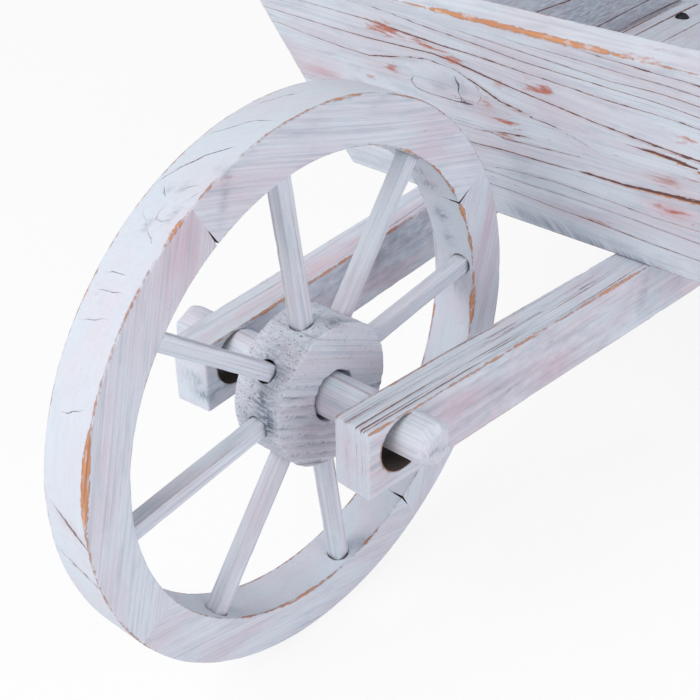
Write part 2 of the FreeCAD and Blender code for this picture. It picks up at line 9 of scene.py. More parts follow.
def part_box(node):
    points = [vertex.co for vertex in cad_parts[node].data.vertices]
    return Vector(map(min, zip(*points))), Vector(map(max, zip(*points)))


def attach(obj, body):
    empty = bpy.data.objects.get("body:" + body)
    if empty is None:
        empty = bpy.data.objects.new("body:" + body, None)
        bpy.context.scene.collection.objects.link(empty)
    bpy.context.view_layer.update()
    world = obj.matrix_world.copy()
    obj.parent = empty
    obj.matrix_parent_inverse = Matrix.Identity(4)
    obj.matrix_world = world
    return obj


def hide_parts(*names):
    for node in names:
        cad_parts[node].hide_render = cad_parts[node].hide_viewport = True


# Decorative garden wheelbarrow in whitewashed pine. Each wooden piece is rebuilt over its solid with
# rounded, chipped edges, and its wood is one block of growth rings that every sawn face cuts through.
# Lengths are millimetres unless a name says otherwise.

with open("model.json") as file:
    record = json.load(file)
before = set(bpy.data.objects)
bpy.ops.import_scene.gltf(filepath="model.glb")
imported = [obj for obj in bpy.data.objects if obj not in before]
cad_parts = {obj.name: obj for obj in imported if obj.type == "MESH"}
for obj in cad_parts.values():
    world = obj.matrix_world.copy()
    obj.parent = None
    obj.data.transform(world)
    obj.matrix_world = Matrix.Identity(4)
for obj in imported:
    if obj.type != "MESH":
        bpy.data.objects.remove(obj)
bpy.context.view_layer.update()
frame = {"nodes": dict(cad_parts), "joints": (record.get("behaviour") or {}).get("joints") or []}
nodes = frame["nodes"]
MM = 0.001
AXLE = np.array(frame["joints"][0]["pos_m"]) / MM
ACROSS = np.array([0.0, 1.0, 0.0])
UP = np.array([0.0, 0.0, 1.0])
REARWARD = np.array([1.0, 0.0, 0.0])

# The view of the reference picture: a square frame, an eye placed from the axle, and where it looks.
PICTURE_SIDE = 700
EYE_FROM_AXLE = np.array([-326.0, -315.6, 304.8])
LOOK_AZIMUTH, LOOK_ELEVATION, LOOK_ROLL = -48.45, 32.53, -0.74
SENSOR_WIDTH, LENS, NEAREST_SEEN = 36.0, 64.34, 10


def add_camera():
    """The camera at the reference picture's place and angle."""
    around, above = math.radians(LOOK_AZIMUTH), math.radians(LOOK_ELEVATION)
    flat = math.cos(above)
    back = Vector((math.sin(around) * flat, -math.cos(around) * flat, math.sin(above)))
    level = (-back).to_track_quat("-Z", "Y")
    lens = bpy.data.cameras.new("camera")
    lens.sensor_width, lens.lens, lens.clip_start = SENSOR_WIDTH, LENS, NEAREST_SEEN * MM
    eye = bpy.data.objects.new("camera", lens)
    eye.rotation_mode = "QUATERNION"
    eye.location = (AXLE + EYE_FROM_AXLE) * MM
    eye.rotation_quaternion = level @ Quaternion((0, 0, 1), math.radians(LOOK_ROLL))
    bpy.context.scene.collection.objects.link(eye)
    bpy.context.scene.camera = eye
    bpy.context.view_layer.update()
    return eye


camera = add_camera()


def seen(pixel, node):
    """The point of a solid that the camera sees at a pixel of the picture."""
    reach = LENS / SENSOR_WIDTH * PICTURE_SIDE
    middle = PICTURE_SIDE / 2
    ray = Vector((pixel[0] - middle, middle - pixel[1], -reach))
    way = camera.matrix_world.to_quaternion() @ ray
    found, place, _, _ = nodes[node].ray_cast(camera.location, way)
    if not found:
        raise ValueError(f"{node} isn't at pixel {pixel}")
    return np.array(place) / MM


# Meshes


def solid_points(node):
    """The points of a solid's mesh."""
    mesh = nodes[node].data
    flat = np.empty(len(mesh.vertices) * 3, np.float32)
    mesh.vertices.foreach_get("co", flat)
    return flat.reshape(-1, 3).astype(float) / MM


def mesh_points(piece):
    """A piece's points and outward directions."""
    mesh = piece.data
    flat, ways = (np.empty(len(mesh.vertices) * 3, np.float32) for _ in range(2))
    mesh.vertices.foreach_get("co", flat)
    mesh.vertex_normals.foreach_get("vector", ways)
    return flat.reshape(-1, 3).astype(float) / MM, ways.reshape(-1, 3).astype(float)


def widest_normal(node):
    """The direction that the largest faces of a solid look in."""
    areas, ways = {}, {}
    for face in nodes[node].data.polygons:
        key = tuple(round(abs(part), 2) for part in face.normal)
        areas[key] = areas.get(key, 0) + face.area
        ways.setdefault(key, np.array(face.normal))
    return ways[max(areas, key=areas.get)]


def directions(along, normal):
    """Unit rows: along the grain, across it, and out of the piece's wide face."""
    along = np.array(along, float) - np.dot(along, normal) * np.array(normal)
    along /= np.linalg.norm(along)
    return np.array([along, np.cross(normal, along), normal])


def grid_lines(half, step, radius):
    """Lines over one side of a rounded bar: even in the middle, close together round its edges."""
    inner = half - radius
    middle = np.linspace(-inner, inner, max(2, round(2 * inner / step)) + 1)
    support = inner - radius / 2
    middle = np.concatenate([[-inner, -support], middle[1:-1], [support, inner]])
    bend = radius * np.tan(np.radians([22.5, 45.0]))
    return np.concatenate([-inner - bend[::-1], middle, inner + bend])


def rounded_box(half, steps, radius):
    """Points, outward directions and quads of a box about the origin, with a rounding for each way."""
    half, radius = np.array(half, float), np.broadcast_to(np.array(radius, float), 3)
    lines = [grid_lines(*side) for side in zip(half, steps, radius)]
    patches, quads, start = [], [], 0
    for axis in range(3):
        one, two = (axis + 1) % 3, (axis + 2) % 3
        for sign in (-1, 1):
            mesh_one, mesh_two = np.meshgrid(lines[one], lines[two], indexing="ij")
            patch = np.empty(mesh_one.shape + (3,))
            patch[..., axis], patch[..., one], patch[..., two] = sign * half[axis], mesh_one, mesh_two
            index = start + np.arange(mesh_one.size).reshape(mesh_one.shape)
            corners = (index[:-1, :-1], index[1:, :-1], index[1:, 1:], index[:-1, 1:])
            quads.append(np.stack(corners[::sign], -1).reshape(-1, 4))
            patches.append(patch.reshape(-1, 3))
            start += mesh_one.size
    cube, place = np.unique(np.round(np.concatenate(patches), 5), axis=0, return_inverse=True)
    core = np.clip(cube, radius - half, half - radius)
    out = (cube - core) / radius
    out /= np.linalg.norm(out, axis=1, keepdims=True)
    return core + radius * out, out, place.reshape(-1)[np.concatenate(quads)]


def wander(points, sizes):
    """Smooth noise from -1 to 1 at each point, with a wave size for each direction."""
    return np.array([noise.noise(Vector(point)) for point in points / np.array(sizes, float)])


def edge_distance(gaps):
    """How far each point of a surface is from the nearest edge, from its distances to all the faces."""
    return np.sort(np.abs(gaps), axis=1)[:, 1]


# Sizes along the grain, across it and out of the wide face: the plane's waves, chips, and clusters of chips
PLANE_WAVE, CHIP_SIZE, CHIP_CLUSTER = (60, 25, 25), (7, 5, 5), (23, 15, 15)
# How far chips reach from an edge, how much a cluster adds to them, and what they have to rise above
CHIP_REACH, CLUSTER_SHARE, CHIP_LEVEL = 1.6, 0.6, 0.25


def worn_down(points, out, edge, seed, sway=0.3, chip=0.6):
    """Planed faces that aren't quite flat, and edges that are chipped, always inside the solid."""
    spot = points + seed
    flat = sway * (wander(spot, PLANE_WAVE) - 1) / 2
    chips = wander(spot, CHIP_SIZE) + CLUSTER_SHARE * wander(spot, CHIP_CLUSTER)
    chips = np.clip(chips - CHIP_LEVEL, 0, 1)
    return points + out * (flat - chip * chips * np.exp(-edge / CHIP_REACH))[:, None]


END_COAT = 0.8


class Shape:
    """A piece's surface in the common frame, with its wood's directions and distances to its faces."""

    def __init__(self, points, quads, axes, centre, gaps):
        self.points, self.quads = points, quads
        self.axes, self.centre, self.gaps = axes, centre, gaps

    def coat(self, points, out):
        """How thick and smooth the paint lies, from 0 to 1: most on the end grain, which soaks it up."""
        return END_COAT * (out @ self.axes[0]) ** 2


def bar(node, along, normal=None, steps=(4, 3, 3), radius=1.2, seed=0.0, bend=None, square=False, **wear):
    """A straight bar or board of eight corners: the solid's own, or its box's where it is square."""
    axes = directions(along, widest_normal(node) if normal is None else normal)
    if axes[1] @ UP < 0:
        axes = directions(along, -axes[2])
    local = solid_points(node) @ axes.T
    low, high = local.min(0), local.max(0)
    centre, half = (low + high) / 2, (high - low) / 2
    local -= centre
    signs = np.array([[[(i, j, k) for k in (-1, 1)] for j in (-1, 1)] for i in (-1, 1)])
    corners = signs * half
    if not square:
        corners = local[np.argmax((local / half) @ signs.reshape(-1, 3).T, axis=0)].reshape(2, 2, 2, 3)
    points, out, quads = rounded_box(half, steps, radius)
    edge = edge_distance(half - np.abs(points))
    points = worn_down(points, out, edge, seed, **wear)
    share = (points / half + 1) / 2
    weights = np.stack([1 - share, share], -1)
    points = np.einsum("ni,nj,nk,ijkc->nc", weights[:, 0], weights[:, 1], weights[:, 2], corners)
    if bend:
        points = bend(points, half)
    planes = []
    for axis in range(3):
        for side in (0, 1):
            a, b, c, _ = np.take(corners, side, axis=axis).reshape(-1, 3)
            way = np.cross(b - a, c - a)
            planes.append((a, way / np.linalg.norm(way)))
    home = centre @ axes

    def gaps(world):
        own = (world - home) @ axes.T
        return np.stack([(own - spot) @ way for spot, way in planes], -1)

    return Shape(points @ axes + home, quads, axes, home, gaps)


# Rim pieces overlap by a hair, so that a shut joint shows no seam. The others open at their near inner
# corner, by so much and over so much of the rim's length. The shut one is given in degrees round the axle.
JOINT_OVERLAP, JOINT_OPENING, JOINT_REACH, SHUT_JOINT = 0.1, 0.8, 3, 210.5
# The saw's waves on the rim's curved faces: their depth inside and outside, their sizes, and how far from a
# joint they calm down
INNER_SAW_WAVE, OUTER_SAW_WAVE, SAW_WAVE_SIZE, SAW_CALM = 1.6, 0.8, (22, 300, 60), 8
# Where a joint starts to open, from the middle of the rim to its inside and to its near face, as shares of
# half its size, and how much of a wave is left at a joint
OPEN_INSIDE, OPEN_NEAR, LEAST_WAVE = 0.1, 0.2, 0.2


def arc(node, seed, steps=(2.5, 2.5, 2.5), radius=(0.05, 1.1, 1.1)):
    """A quarter of the rim, sawn from a straight board whose grain runs along its chord."""
    from_axle = solid_points(node) - AXLE
    reach = np.hypot(from_axle[:, 0], from_axle[:, 2])
    inner, outer = reach.min(), reach.max()
    mean = from_axle[:, [0, 2]].mean(0)
    middle = math.atan2(mean[1], mean[0])
    turn = np.arctan2(from_axle[:, 2], from_axle[:, 0]) - middle
    turn = (turn + math.pi) % (2 * math.pi) - math.pi
    mid_reach = (inner + outer) / 2
    half_length = turn.max() * mid_reach + JOINT_OVERLAP / 2
    half = np.array([half_length, (outer - inner) / 2, np.ptp(from_axle[:, 1]) / 2])
    points, out, quads = rounded_box(half, steps, radius)
    edge = edge_distance((half - np.abs(points))[:, 1:])
    sawn = np.where(out[:, 1] < 0, INNER_SAW_WAVE, OUTER_SAW_WAVE) * np.abs(out[:, 1])
    calm = np.clip((half[0] - np.abs(points[:, 0])) / SAW_CALM, LEAST_WAVE, 1)
    waves = wander(points + seed, SAW_WAVE_SIZE) * calm
    out = out * (0, 1, 1)
    points += out * (sawn * (waves - 1) / 2)[:, None]
    points = worn_down(points, out, edge, seed)
    to_axle = np.clip(-OPEN_INSIDE - points[:, 1] / half[1], 0, 1)
    to_near_face = np.clip(-OPEN_NEAR - points[:, 2] / half[2], 0, 1)
    inward = to_axle * to_near_face / (1 - OPEN_NEAR)
    at_joint = np.clip((np.abs(points[:, 0]) - half[0]) / JOINT_REACH + 1, 0, 1)
    joint = middle + turn.max() * np.sign(points[:, 0])
    loose = np.abs(np.sin((joint - math.radians(SHUT_JOINT)) / 2)) > 0.1
    points[:, 0] -= JOINT_OPENING * loose * inward * at_joint * np.sign(points[:, 0])
    angle, length = middle + points[:, 0] / mid_reach, mid_reach + points[:, 1]
    world = AXLE + np.stack([np.cos(angle) * length, points[:, 2], np.sin(angle) * length], -1)
    chord = np.array([-math.sin(middle), 0, math.cos(middle)])
    axes = directions(chord, ACROSS)

    def gaps(world):
        own = world - AXLE
        length = np.hypot(own[:, 0], own[:, 2])
        return np.stack([length - inner, outer - length, half[2] - np.abs(own[:, 1])], -1)

    centre = AXLE + mid_reach * np.array([math.cos(middle), 0, math.sin(middle)])
    shape = Shape(world, quads, axes, centre, gaps)
    shape.inner = inner

    def coat(world, out):
        own = (world - AXLE) * (1, 0, 1)
        return (out * own).sum(1) ** 2 / (own**2).sum(1)

    def at_end(world):
        own = world - AXLE
        turn = (np.arctan2(own[:, 2], own[:, 0]) - middle + math.pi) % (2 * math.pi) - math.pi
        painted = (np.hypot(own[:, 0], own[:, 2]) > mid_reach) | (own[:, 1] > -half[2] / 3)
        return ~painted & (np.abs(turn) * mid_reach > half[0] - 1.5 * JOINT_OPENING)

    shape.coat, shape.at_end = coat, at_end
    return shape


def turned(profile, around=144):
    """A surface turned about the axle's line, from a profile of radius and place along that line."""
    profile = np.array(profile, float)
    angle = np.arange(around) * 2 * math.pi / around
    radius, along = profile[:, :1], profile[:, 1:]
    ring = np.stack([radius * np.cos(angle), along + 0 * angle, radius * np.sin(angle)], -1).reshape(-1, 3)
    index = np.arange(len(ring)).reshape(len(profile), around)
    after = np.roll(index, -1, axis=1)
    quads = np.stack([index[:-1], index[1:], after[1:], after[:-1]], -1).reshape(-1, 4)
    points, place = np.unique(np.round(ring, 5), axis=0, return_inverse=True)
    faces = [tuple(dict.fromkeys(quad)) for quad in place.reshape(-1)[quads].tolist()]
    return points, faces


def edge_profile(radius, end, bevel, turns):
    """The rounded edge of a turned piece, from its end face to its side."""
    turns = np.radians(turns)
    return np.stack([radius - bevel * (1 - np.sin(turns)), end + bevel * (1 - np.cos(turns))], -1)


def side_profile(radius, places):
    """A stretch of a turned piece that is as thick at each place."""
    return np.stack([radius + 0 * places, places], -1)


def drill(piece, holes, sides=40):
    """Cuts round holes: each is where it starts, which way it goes, its radius and its depth."""
    points, faces = [], []
    angle = np.arange(sides) * 2 * math.pi / sides
    for start, way, radius, depth in holes:
        way = np.array(way, float) / np.linalg.norm(way)
        one = np.cross(way, UP if abs(way[2]) < 0.9 else ACROSS)
        one /= np.linalg.norm(one)
        two = np.cross(way, one)
        base = len(points)
        ring = start + radius * (np.cos(angle)[:, None] * one + np.sin(angle)[:, None] * two)
        points.extend(np.concatenate([ring, ring + depth * way]) * MM)
        for i in range(sides):
            j = (i + 1) % sides
            faces.append((base + i, base + j, base + sides + j, base + sides + i))
        faces.append(tuple(base + i for i in reversed(range(sides))))
        faces.append(tuple(base + sides + i for i in range(sides)))
    mesh = bpy.data.meshes.new("drill")
    mesh.from_pydata([tuple(point) for point in points], [], faces)
    cutter = bpy.data.objects.new("drill", mesh)
    bpy.context.scene.collection.objects.link(cutter)
    cut = piece.modifiers.new("drill", "BOOLEAN")
    cut.operation, cut.solver, cut.object = "DIFFERENCE", "EXACT", cutter
    bpy.context.view_layer.update()
    whole = bpy.data.meshes.new_from_object(piece.evaluated_get(bpy.context.evaluated_depsgraph_get()))
    piece.modifiers.clear()
    piece.data = whole
    bpy.data.objects.remove(cutter)


# A point this near to a drilled hole's wall lies on it
ON_WALL = 0.1


def leave_bare(piece, inside):
    """Gives the faces between these points the second material: bare wood, painted dark as shade."""
    for face in piece.data.polygons:
        if inside[list(face.vertices)].all():
            face.material_index = 1


def line_holes(piece, holes):
    """Gives the walls of drilled holes the second material."""
    points, _ = mesh_points(piece)
    inside = np.zeros(len(points), bool)
    for start, way, radius, _ in holes:
        away = points - start
        away -= np.outer(away @ way, way)
        inside |= np.abs(np.linalg.norm(away, axis=1) - radius) < ON_WALL
    leave_bare(piece, inside)


# Wood: where the rings, knots and worn places of each piece are


def put_attribute(piece, name, values):
    """Stores one number or one vector for each point."""
    kind = "FLOAT_VECTOR" if values.ndim == 2 else "FLOAT"
    layer = piece.data.attributes.new(name, kind, "POINT")
    layer.data.foreach_set("vector" if values.ndim == 2 else "value", values.astype(np.float32).ravel())


def near(points, shape, spot, sizes):
    """1 at a spot and less away from it, with a size for each of the wood's directions."""
    away = (points - spot) @ shape.axes.T / np.array(sizes, float)
    return np.exp(-(away**2).sum(1))


RING_WAVE = (110, 60, 60)


def wood_places(points, shape, wood):
    """Places in the wood: along the grain, across the growth rings, and along them."""
    own = (points - shape.centre) @ shape.axes.T
    along, across, through = own.T
    tilt = math.radians(wood["tilt"])
    ring = across * math.cos(tilt) + through * math.sin(tilt)
    side = through * math.cos(tilt) - across * math.sin(tilt)
    ring = ring + side**2 / wood["bow"] + wood["sway"] * wander(own + wood["seed"], RING_WAVE)
    return along, ring, side


# The least and most share of the usual gap, fade and width that chance gives a ring line
GAP_SPREAD, FADE_SPREAD, WIDTH_SPREAD = (0.3, 1.7), (-0.5, 1.0), (0.4, 1.4)


def chance_lines(along, ring, wood):
    """Ring lines for a piece that has none picked: uneven gaps, each fading in and out."""
    chance = np.random.default_rng(int(wood["seed"]))
    stations = np.arange(along.min(), along.max() + wood["fade"], wood["fade"])
    lines, place = [], ring.min()
    while place < ring.max():
        place += wood["gap"] * chance.uniform(*GAP_SPREAD)
        fade = np.clip(chance.uniform(*FADE_SPREAD, len(stations)), 0, 1)
        lines.append((stations, 0 * stations + place, wood["width"] * fade * chance.uniform(*WIDTH_SPREAD)))
    return lines


def picked_lines(node, shape, wood):
    """Ring lines picked in the picture: pixels, and half the line's width at each."""
    lines = []
    for drawn in wood["lines"]:
        spots = np.array([seen(pixel[:2], node) for pixel in drawn])
        along, ring, _ = wood_places(spots, shape, wood)
        order = np.argsort(along)
        lines.append((along[order], ring[order], np.array([pixel[2] for pixel in drawn])[order]))
    return lines


def crossings(node, shape, wood):
    """Short ring lines across a curved face: a pixel, half a width, and how far it goes each way."""
    lines = []
    for x, y, wide, reach in wood["cross"]:
        along, ring, _ = wood_places(seen((x, y), node)[None], shape, wood)
        lines.append((along + [-reach, 0, reach], ring + [0, 0, 0], np.array([0, wide, 0])))
    return lines


# Beyond the outermost lines, the next ones are taken to be this far off
OPEN_GAP = 20


def count_lines(along, ring, lines):
    """Between which lines each point lies, as a number that is whole on a line, their gap and a width."""
    place = np.stack([np.interp(along, line[0], line[1]) for line in lines], -1)
    wide = np.stack([np.interp(along, line[0], line[2]) for line in lines], -1)
    order = np.argsort(place, axis=1)
    place, wide = np.take_along_axis(place, order, 1), np.take_along_axis(wide, order, 1)
    place = np.concatenate([place[:, :1] - OPEN_GAP, place, place[:, -1:] + OPEN_GAP], axis=1)
    wide = np.pad(wide, ((0, 0), (1, 1)))
    below = (place[:, 1:-1] <= ring[:, None]).sum(1)[:, None]
    low, high = (np.take_along_axis(place, below + step, 1)[:, 0] for step in (0, 1))
    gap = np.maximum(high - low, 0.1)
    share = (ring - low) / gap
    ink = np.take_along_axis(wide, below + (share > 0.5)[:, None], 1)[:, 0]
    return below[:, 0] + share, gap, ink


# A score's width counts this far from it, a little more than the diagonal of the rim's mesh
SCORE_REACH, FAR_ASIDE = 4, 99


def scored(points, out, node, wood):
    """Single lines that don't follow the rings, by pixel: how far each point is to one side or the other of
    the nearest, and half that line's width, which counts only close to it. Lines side by side run opposite
    ways, so that the side between them is the same for both."""
    aside, wide = np.full(len(points), np.inf), np.zeros(len(points))
    for drawn in wood["scores"]:
        spots = [seen(pixel[:2], node) for pixel in drawn]
        for first in range(len(drawn) - 1):
            way = spots[first + 1] - spots[first]
            share = np.clip((points - spots[first]) @ way / (way @ way), 0, 1)
            off = points - spots[first] - np.outer(share, way)
            far = np.linalg.norm(off, axis=1)
            side = np.where((np.cross(out, way) * off).sum(1) < 0, -1, 1)
            half = drawn[first][2] + share * (drawn[first + 1][2] - drawn[first][2])
            nearer = far < np.abs(aside)
            aside = np.where(nearer, side * far, aside)
            wide = np.where(nearer, half * (far < SCORE_REACH), wide)
    return np.clip(aside, -FAR_ASIDE, FAR_ASIDE), wide


# A piece's wood, unless it says otherwise: its rings' tilt in degrees, their bow and sway, the seed of its
# noise, the gap between ring lines, half their width, the length in which they fade, and how much fainter
# they are on the wide face
WOOD_FACTS = {"tilt": 0, "bow": 600, "sway": 3, "seed": 0, "gap": 8, "width": 0.4, "fade": 30, "quiet": 0}
# What may be picked by pixel: lines, and spots of some size and amount
LINE_KINDS = ("lines", "cross", "scores")
SPOT_KINDS = ("rub", "scuff", "tear", "smudge", "blush")
# How much fainter ring lines are on end grain
END_QUIET = 0.8


def mark(piece, node, shape, wood):
    """Gives a piece's points what its material reads."""
    points, out = mesh_points(piece)
    along, ring, side = wood_places(points, shape, wood)
    lines = picked_lines(node, shape, wood) or chance_lines(along, ring, wood)
    lines += crossings(node, shape, wood)
    phase, gap, ink = count_lines(along, ring, lines)
    end = np.abs(out @ shape.axes[0]) ** 3
    ink *= (1 - wood["quiet"] * np.abs(out @ shape.axes[2])) * (1 - END_QUIET * end)
    if wood["lines"]:
        ring = phase * wood["gap"]
    marks = {"grain": np.stack([along, ring, side], -1) + wood["seed"]}
    marks.update({"phase": phase, "gap": gap, "ink": ink})
    marks["score"], marks["score_width"] = scored(points, out, node, wood)
    marks["edge"] = edge_distance(shape.gaps(points))
    marks["end"], marks["coat"] = end, shape.coat(points, out)
    for kind in SPOT_KINDS:
        marks[kind] = np.zeros(len(points))
        for pixel, sizes, amount in wood[kind]:
            marks[kind] += amount * near(points, shape, seen(pixel, node), sizes)
    for name, values in marks.items():
        put_attribute(piece, name, values)


def add_piece(node, shape, material, body, holes=(), **wood):
    """A dressed piece in place of its solid."""
    mesh = bpy.data.meshes.new(f"dressed_{node}")
    mesh.from_pydata((shape.points * MM).tolist(), [], list(map(tuple, shape.quads)))
    piece = bpy.data.objects.new(f"dressed_{node}", mesh)
    bpy.context.scene.collection.objects.link(piece)
    if holes:
        drill(piece, holes)
    piece.data.shade_smooth()
    mark(piece, node, shape, {**WOOD_FACTS, **dict.fromkeys(LINE_KINDS + SPOT_KINDS, ()), **wood})
    piece.data.materials.clear()
    piece.data.materials.append(material)
    if holes:
        piece.data.materials.append(bare_bore_and_shade)
        line_holes(piece, holes)
    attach(piece, body)
    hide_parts(node)
    return piece


# Materials


def colour(code):
    """A linear colour from an sRGB hex code."""
    parts = [int(code[i : i + 2], 16) / 255 for i in (1, 3, 5)]
    return (*[c / 12.92 if c <= 0.04045 else ((c + 0.055) / 1.055) ** 2.4 for c in parts], 1.0)


def add(tree, kind, links=None, **settings):
    """Adds a node. Settings are its properties. Links are its inputs, by name or number: each is a value,
    an output, or a node that stands for its own first output."""
    item = tree.nodes.new(f"ShaderNode{kind}")
    for name, value in settings.items():
        setattr(item, name, value)
    for name, value in (links or {}).items():
        if isinstance(value, bpy.types.Node):
            value = next(output for output in value.outputs if output.enabled)
        if isinstance(value, bpy.types.NodeSocket):
            tree.links.new(value, item.inputs[name])
        else:
            item.inputs[name].default_value = value
    return item


# What differs from piece to piece: the tint of thin paint, and how strong each trace is
PAINT_INPUTS = {
    "Warm": ("NodeSocketColor", colour("#D5CFD8")),
    "Lines": ("NodeSocketFloat", 0.8),
    "Streaks": ("NodeSocketFloat", 0.5),
    "Wear": ("NodeSocketFloat", 0.8),
    "Scuffs": ("NodeSocketFloat", 0.3),
    "Pits": ("NodeSocketFloat", 0.1),
}
PAINT_OUTPUTS = {"Color": "NodeSocketColor", "Roughness": "NodeSocketFloat", "Height": "NodeSocketFloat"}
# Patterns, each with its real sizes along the grain, across the rings and along the rings
PATTERN_SIZES = {
    "mottle": (60, 14, 18),
    "brush": (22, 3.5, 6),
    "streak": (110, 0.8, 2.0),
    "fibre": (30, 0.4, 0.8),
    "ripple": (15, 7, 12),
    "patch": (9, 1.3, 4),
    "region": (60, 22, 30),
    "wear": (24, 9, 9),
    "dashes": (7, 4, 4),
    "jag": (3.5, 1.3, 1.3),
    "speck": (1.0, 1.0, 1.0),
}
# Torn saw marks: how far they slant for each step across the rings, and their width, length and depth
TEAR_SLANT, TEAR_SIZE = -2.0, (1.1, 14, 14)
# Soft ends of a line, in the paint's own unevenness
LINE_LOSS = -0.12


def whitewash_group():
    """Thin blue-white paint brushed over softwood and rubbed back. It lies thick and cool between the
    growth rings and lets pink wood show where it is thin. It is gone along the dark ring lines, and rubbed
    to orange wood on the edges."""
    # In what follows, inputs 1 and 2 of a map range are what it reads from and to, 3 and 4 what it gives.
    # Input 0 of a mix is its share, 6 and 7 are its two colours.
    tree = bpy.data.node_groups.new("whitewash", "ShaderNodeTree")
    for name, (kind, value) in PAINT_INPUTS.items():
        tree.interface.new_socket(name, in_out="INPUT", socket_type=kind).default_value = value
    for name, kind in PAINT_OUTPUTS.items():
        tree.interface.new_socket(name, in_out="OUTPUT", socket_type=kind)
    given = tree.nodes.new("NodeGroupInput").outputs
    grain = add(tree, "Attribute", attribute_name="grain").outputs["Vector"]
    at = {}
    for name in ("phase", "gap", "ink", "score", "score_width", "edge", "end", "coat") + SPOT_KINDS:
        at[name] = add(tree, "Attribute", attribute_name=name).outputs["Fac"]
    pattern = {}
    for name, size in PATTERN_SIZES.items():
        scaled = add(tree, "VectorMath", {0: grain, 1: tuple(1 / s for s in size)}, operation="MULTIPLY")
        links = {"Vector": scaled, "Scale": 1.0, "Detail": 3.0, "Roughness": 0.6}
        pattern[name] = add(tree, "TexNoise", links)

    # Ring lines and scores: a little wavy and broken
    wobble = add(tree, "MapRange", {0: pattern["ripple"], 3: -0.3, 4: 0.3})
    wobble = add(tree, "Math", {0: wobble, 1: at["gap"]}, operation="DIVIDE")
    count = add(tree, "Math", {0: at["phase"], 1: wobble}, operation="ADD")
    whole = add(tree, "Math", {0: count}, operation="ROUND")
    aside = add(tree, "Math", {0: count, 1: whole}, operation="SUBTRACT")
    aside = add(tree, "Math", {0: aside, 1: at["gap"]}, operation="MULTIPLY")
    press = add(tree, "MapRange", {0: pattern["jag"], 1: 0.3, 2: 0.7, 3: 0.55, 4: 1.25})
    inside = []
    for width, away in ((at["ink"], aside), (at["score_width"], at["score"])):
        half = add(tree, "Math", {0: width, 1: press, 2: LINE_LOSS}, operation="MULTIPLY_ADD")
        off = add(tree, "Math", {0: away}, operation="ABSOLUTE")
        inside.append(add(tree, "Math", {0: half, 1: off}, operation="SUBTRACT"))
    line = add(tree, "MapRange", {0: inside[0], 1: -0.15, 2: 0.15, 4: given["Lines"]})
    score = add(tree, "MapRange", {0: inside[1], 1: -0.11, 2: 0.2, 4: 0.9})
    # A ring line is dark, in a reddish halo, and the widest are orange along their lower side
    near_line = add(tree, "MapRange", {0: inside[0], 1: -1.3, 2: 0.1})
    strong = add(tree, "MapRange", {0: at["ink"], 1: 0.1, 2: 0.7})
    halo = add(tree, "Math", {0: near_line, 1: strong}, operation="MULTIPLY")
    halo = add(tree, "Math", {0: halo, 1: 0.45}, operation="MULTIPLY")
    open_crack = add(tree, "MapRange", {0: at["ink"], 1: 0.75, 2: 1.1})
    down = add(tree, "Math", {0: aside, 1: at["ink"]}, operation="DIVIDE")
    lower = add(tree, "MapRange", {0: down, 1: -0.25, 2: -0.45, 4: open_crack})
    line_tint = add(tree, "Mix", {0: lower, 6: colour("#664540"), 7: colour("#C47F45")}, data_type="RGBA")

    # Paint: cool where it is thick, warm where it is thin, pink in places, brushed out in streaks
    thin = add(tree, "MapRange", {0: pattern["mottle"], 1: 0.42, 2: 0.68})
    pink = add(tree, "Math", {0: at["blush"], 1: pattern["mottle"]}, operation="MULTIPLY")
    thick = add(tree, "MapRange", {0: pattern["brush"], 1: 0.52, 2: 0.78, 4: 0.6})
    dark_streak = add(tree, "MapRange", {0: pattern["streak"], 1: 0.5, 2: 0.8, 4: given["Streaks"]})
    pale_streak = add(tree, "MapRange", {0: pattern["streak"], 1: 0.45, 2: 0.2, 4: given["Streaks"]})
    smooth = add(tree, "Mix", {0: thin, 6: colour("#D3DBE4"), 7: colour("#D9D9E2")}, data_type="RGBA")
    cover = add(tree, "Math", {0: at["coat"], 1: 0.75}, operation="MULTIPLY")
    # Smudges, and painted shade where a piece lies in shadow: uneven grey, and nearly black where there is
    # most of it
    uneven = add(tree, "MapRange", {0: pattern["patch"], 1: 0.36, 2: 0.64, 3: 0.2, 4: 1.6})
    smudge = add(tree, "Math", {0: at["smudge"], 1: uneven}, operation="MULTIPLY")
    dark_smudge_and_shade = add(tree, "MapRange", {0: smudge, 1: 0.9, 2: 2.2})
    # Scuffs: red-brown places where the paint is off the ridges of the wood
    place = add(tree, "MapRange", {0: pattern["region"], 1: 0.55, 2: 0.75, 4: given["Scuffs"]})
    amount = add(tree, "Math", {0: place, 1: at["scuff"]}, operation="ADD")
    bare = add(tree, "Math", {0: amount, 1: 0.36, 2: pattern["patch"]}, operation="MULTIPLY_ADD")
    bare = add(tree, "MapRange", {0: bare, 1: 0.69, 2: 0.9, 4: 0.95})
    # Pits and end grain: short dark specks
    rough = add(tree, "Math", {0: at["end"], 1: 0.25, 2: given["Pits"]}, operation="MULTIPLY_ADD")
    rough = add(tree, "MapRange", {0: at["coat"], 3: rough, 4: 0.0})
    speck = add(tree, "MapRange", {0: pattern["speck"], 1: 0.6, 2: 0.72, 4: rough})
    # Torn saw marks: slanted dark strokes
    axis = add(tree, "SeparateXYZ", {0: grain}).outputs
    slant = add(tree, "Math", {0: axis[1], 1: TEAR_SLANT, 2: axis[0]}, operation="MULTIPLY_ADD")
    stroke = add(tree, "CombineXYZ", {0: slant, 1: axis[1], 2: axis[2]})
    links = {0: stroke, 1: tuple(1 / s for s in TEAR_SIZE)}
    stroke = add(tree, "VectorMath", links, operation="MULTIPLY")
    stroke = add(tree, "TexNoise", {"Vector": stroke, "Scale": 1.0, "Detail": 2.0})
    stroke = add(tree, "MapRange", {0: stroke, 1: 0.35, 2: 0.6, 4: at["tear"]})

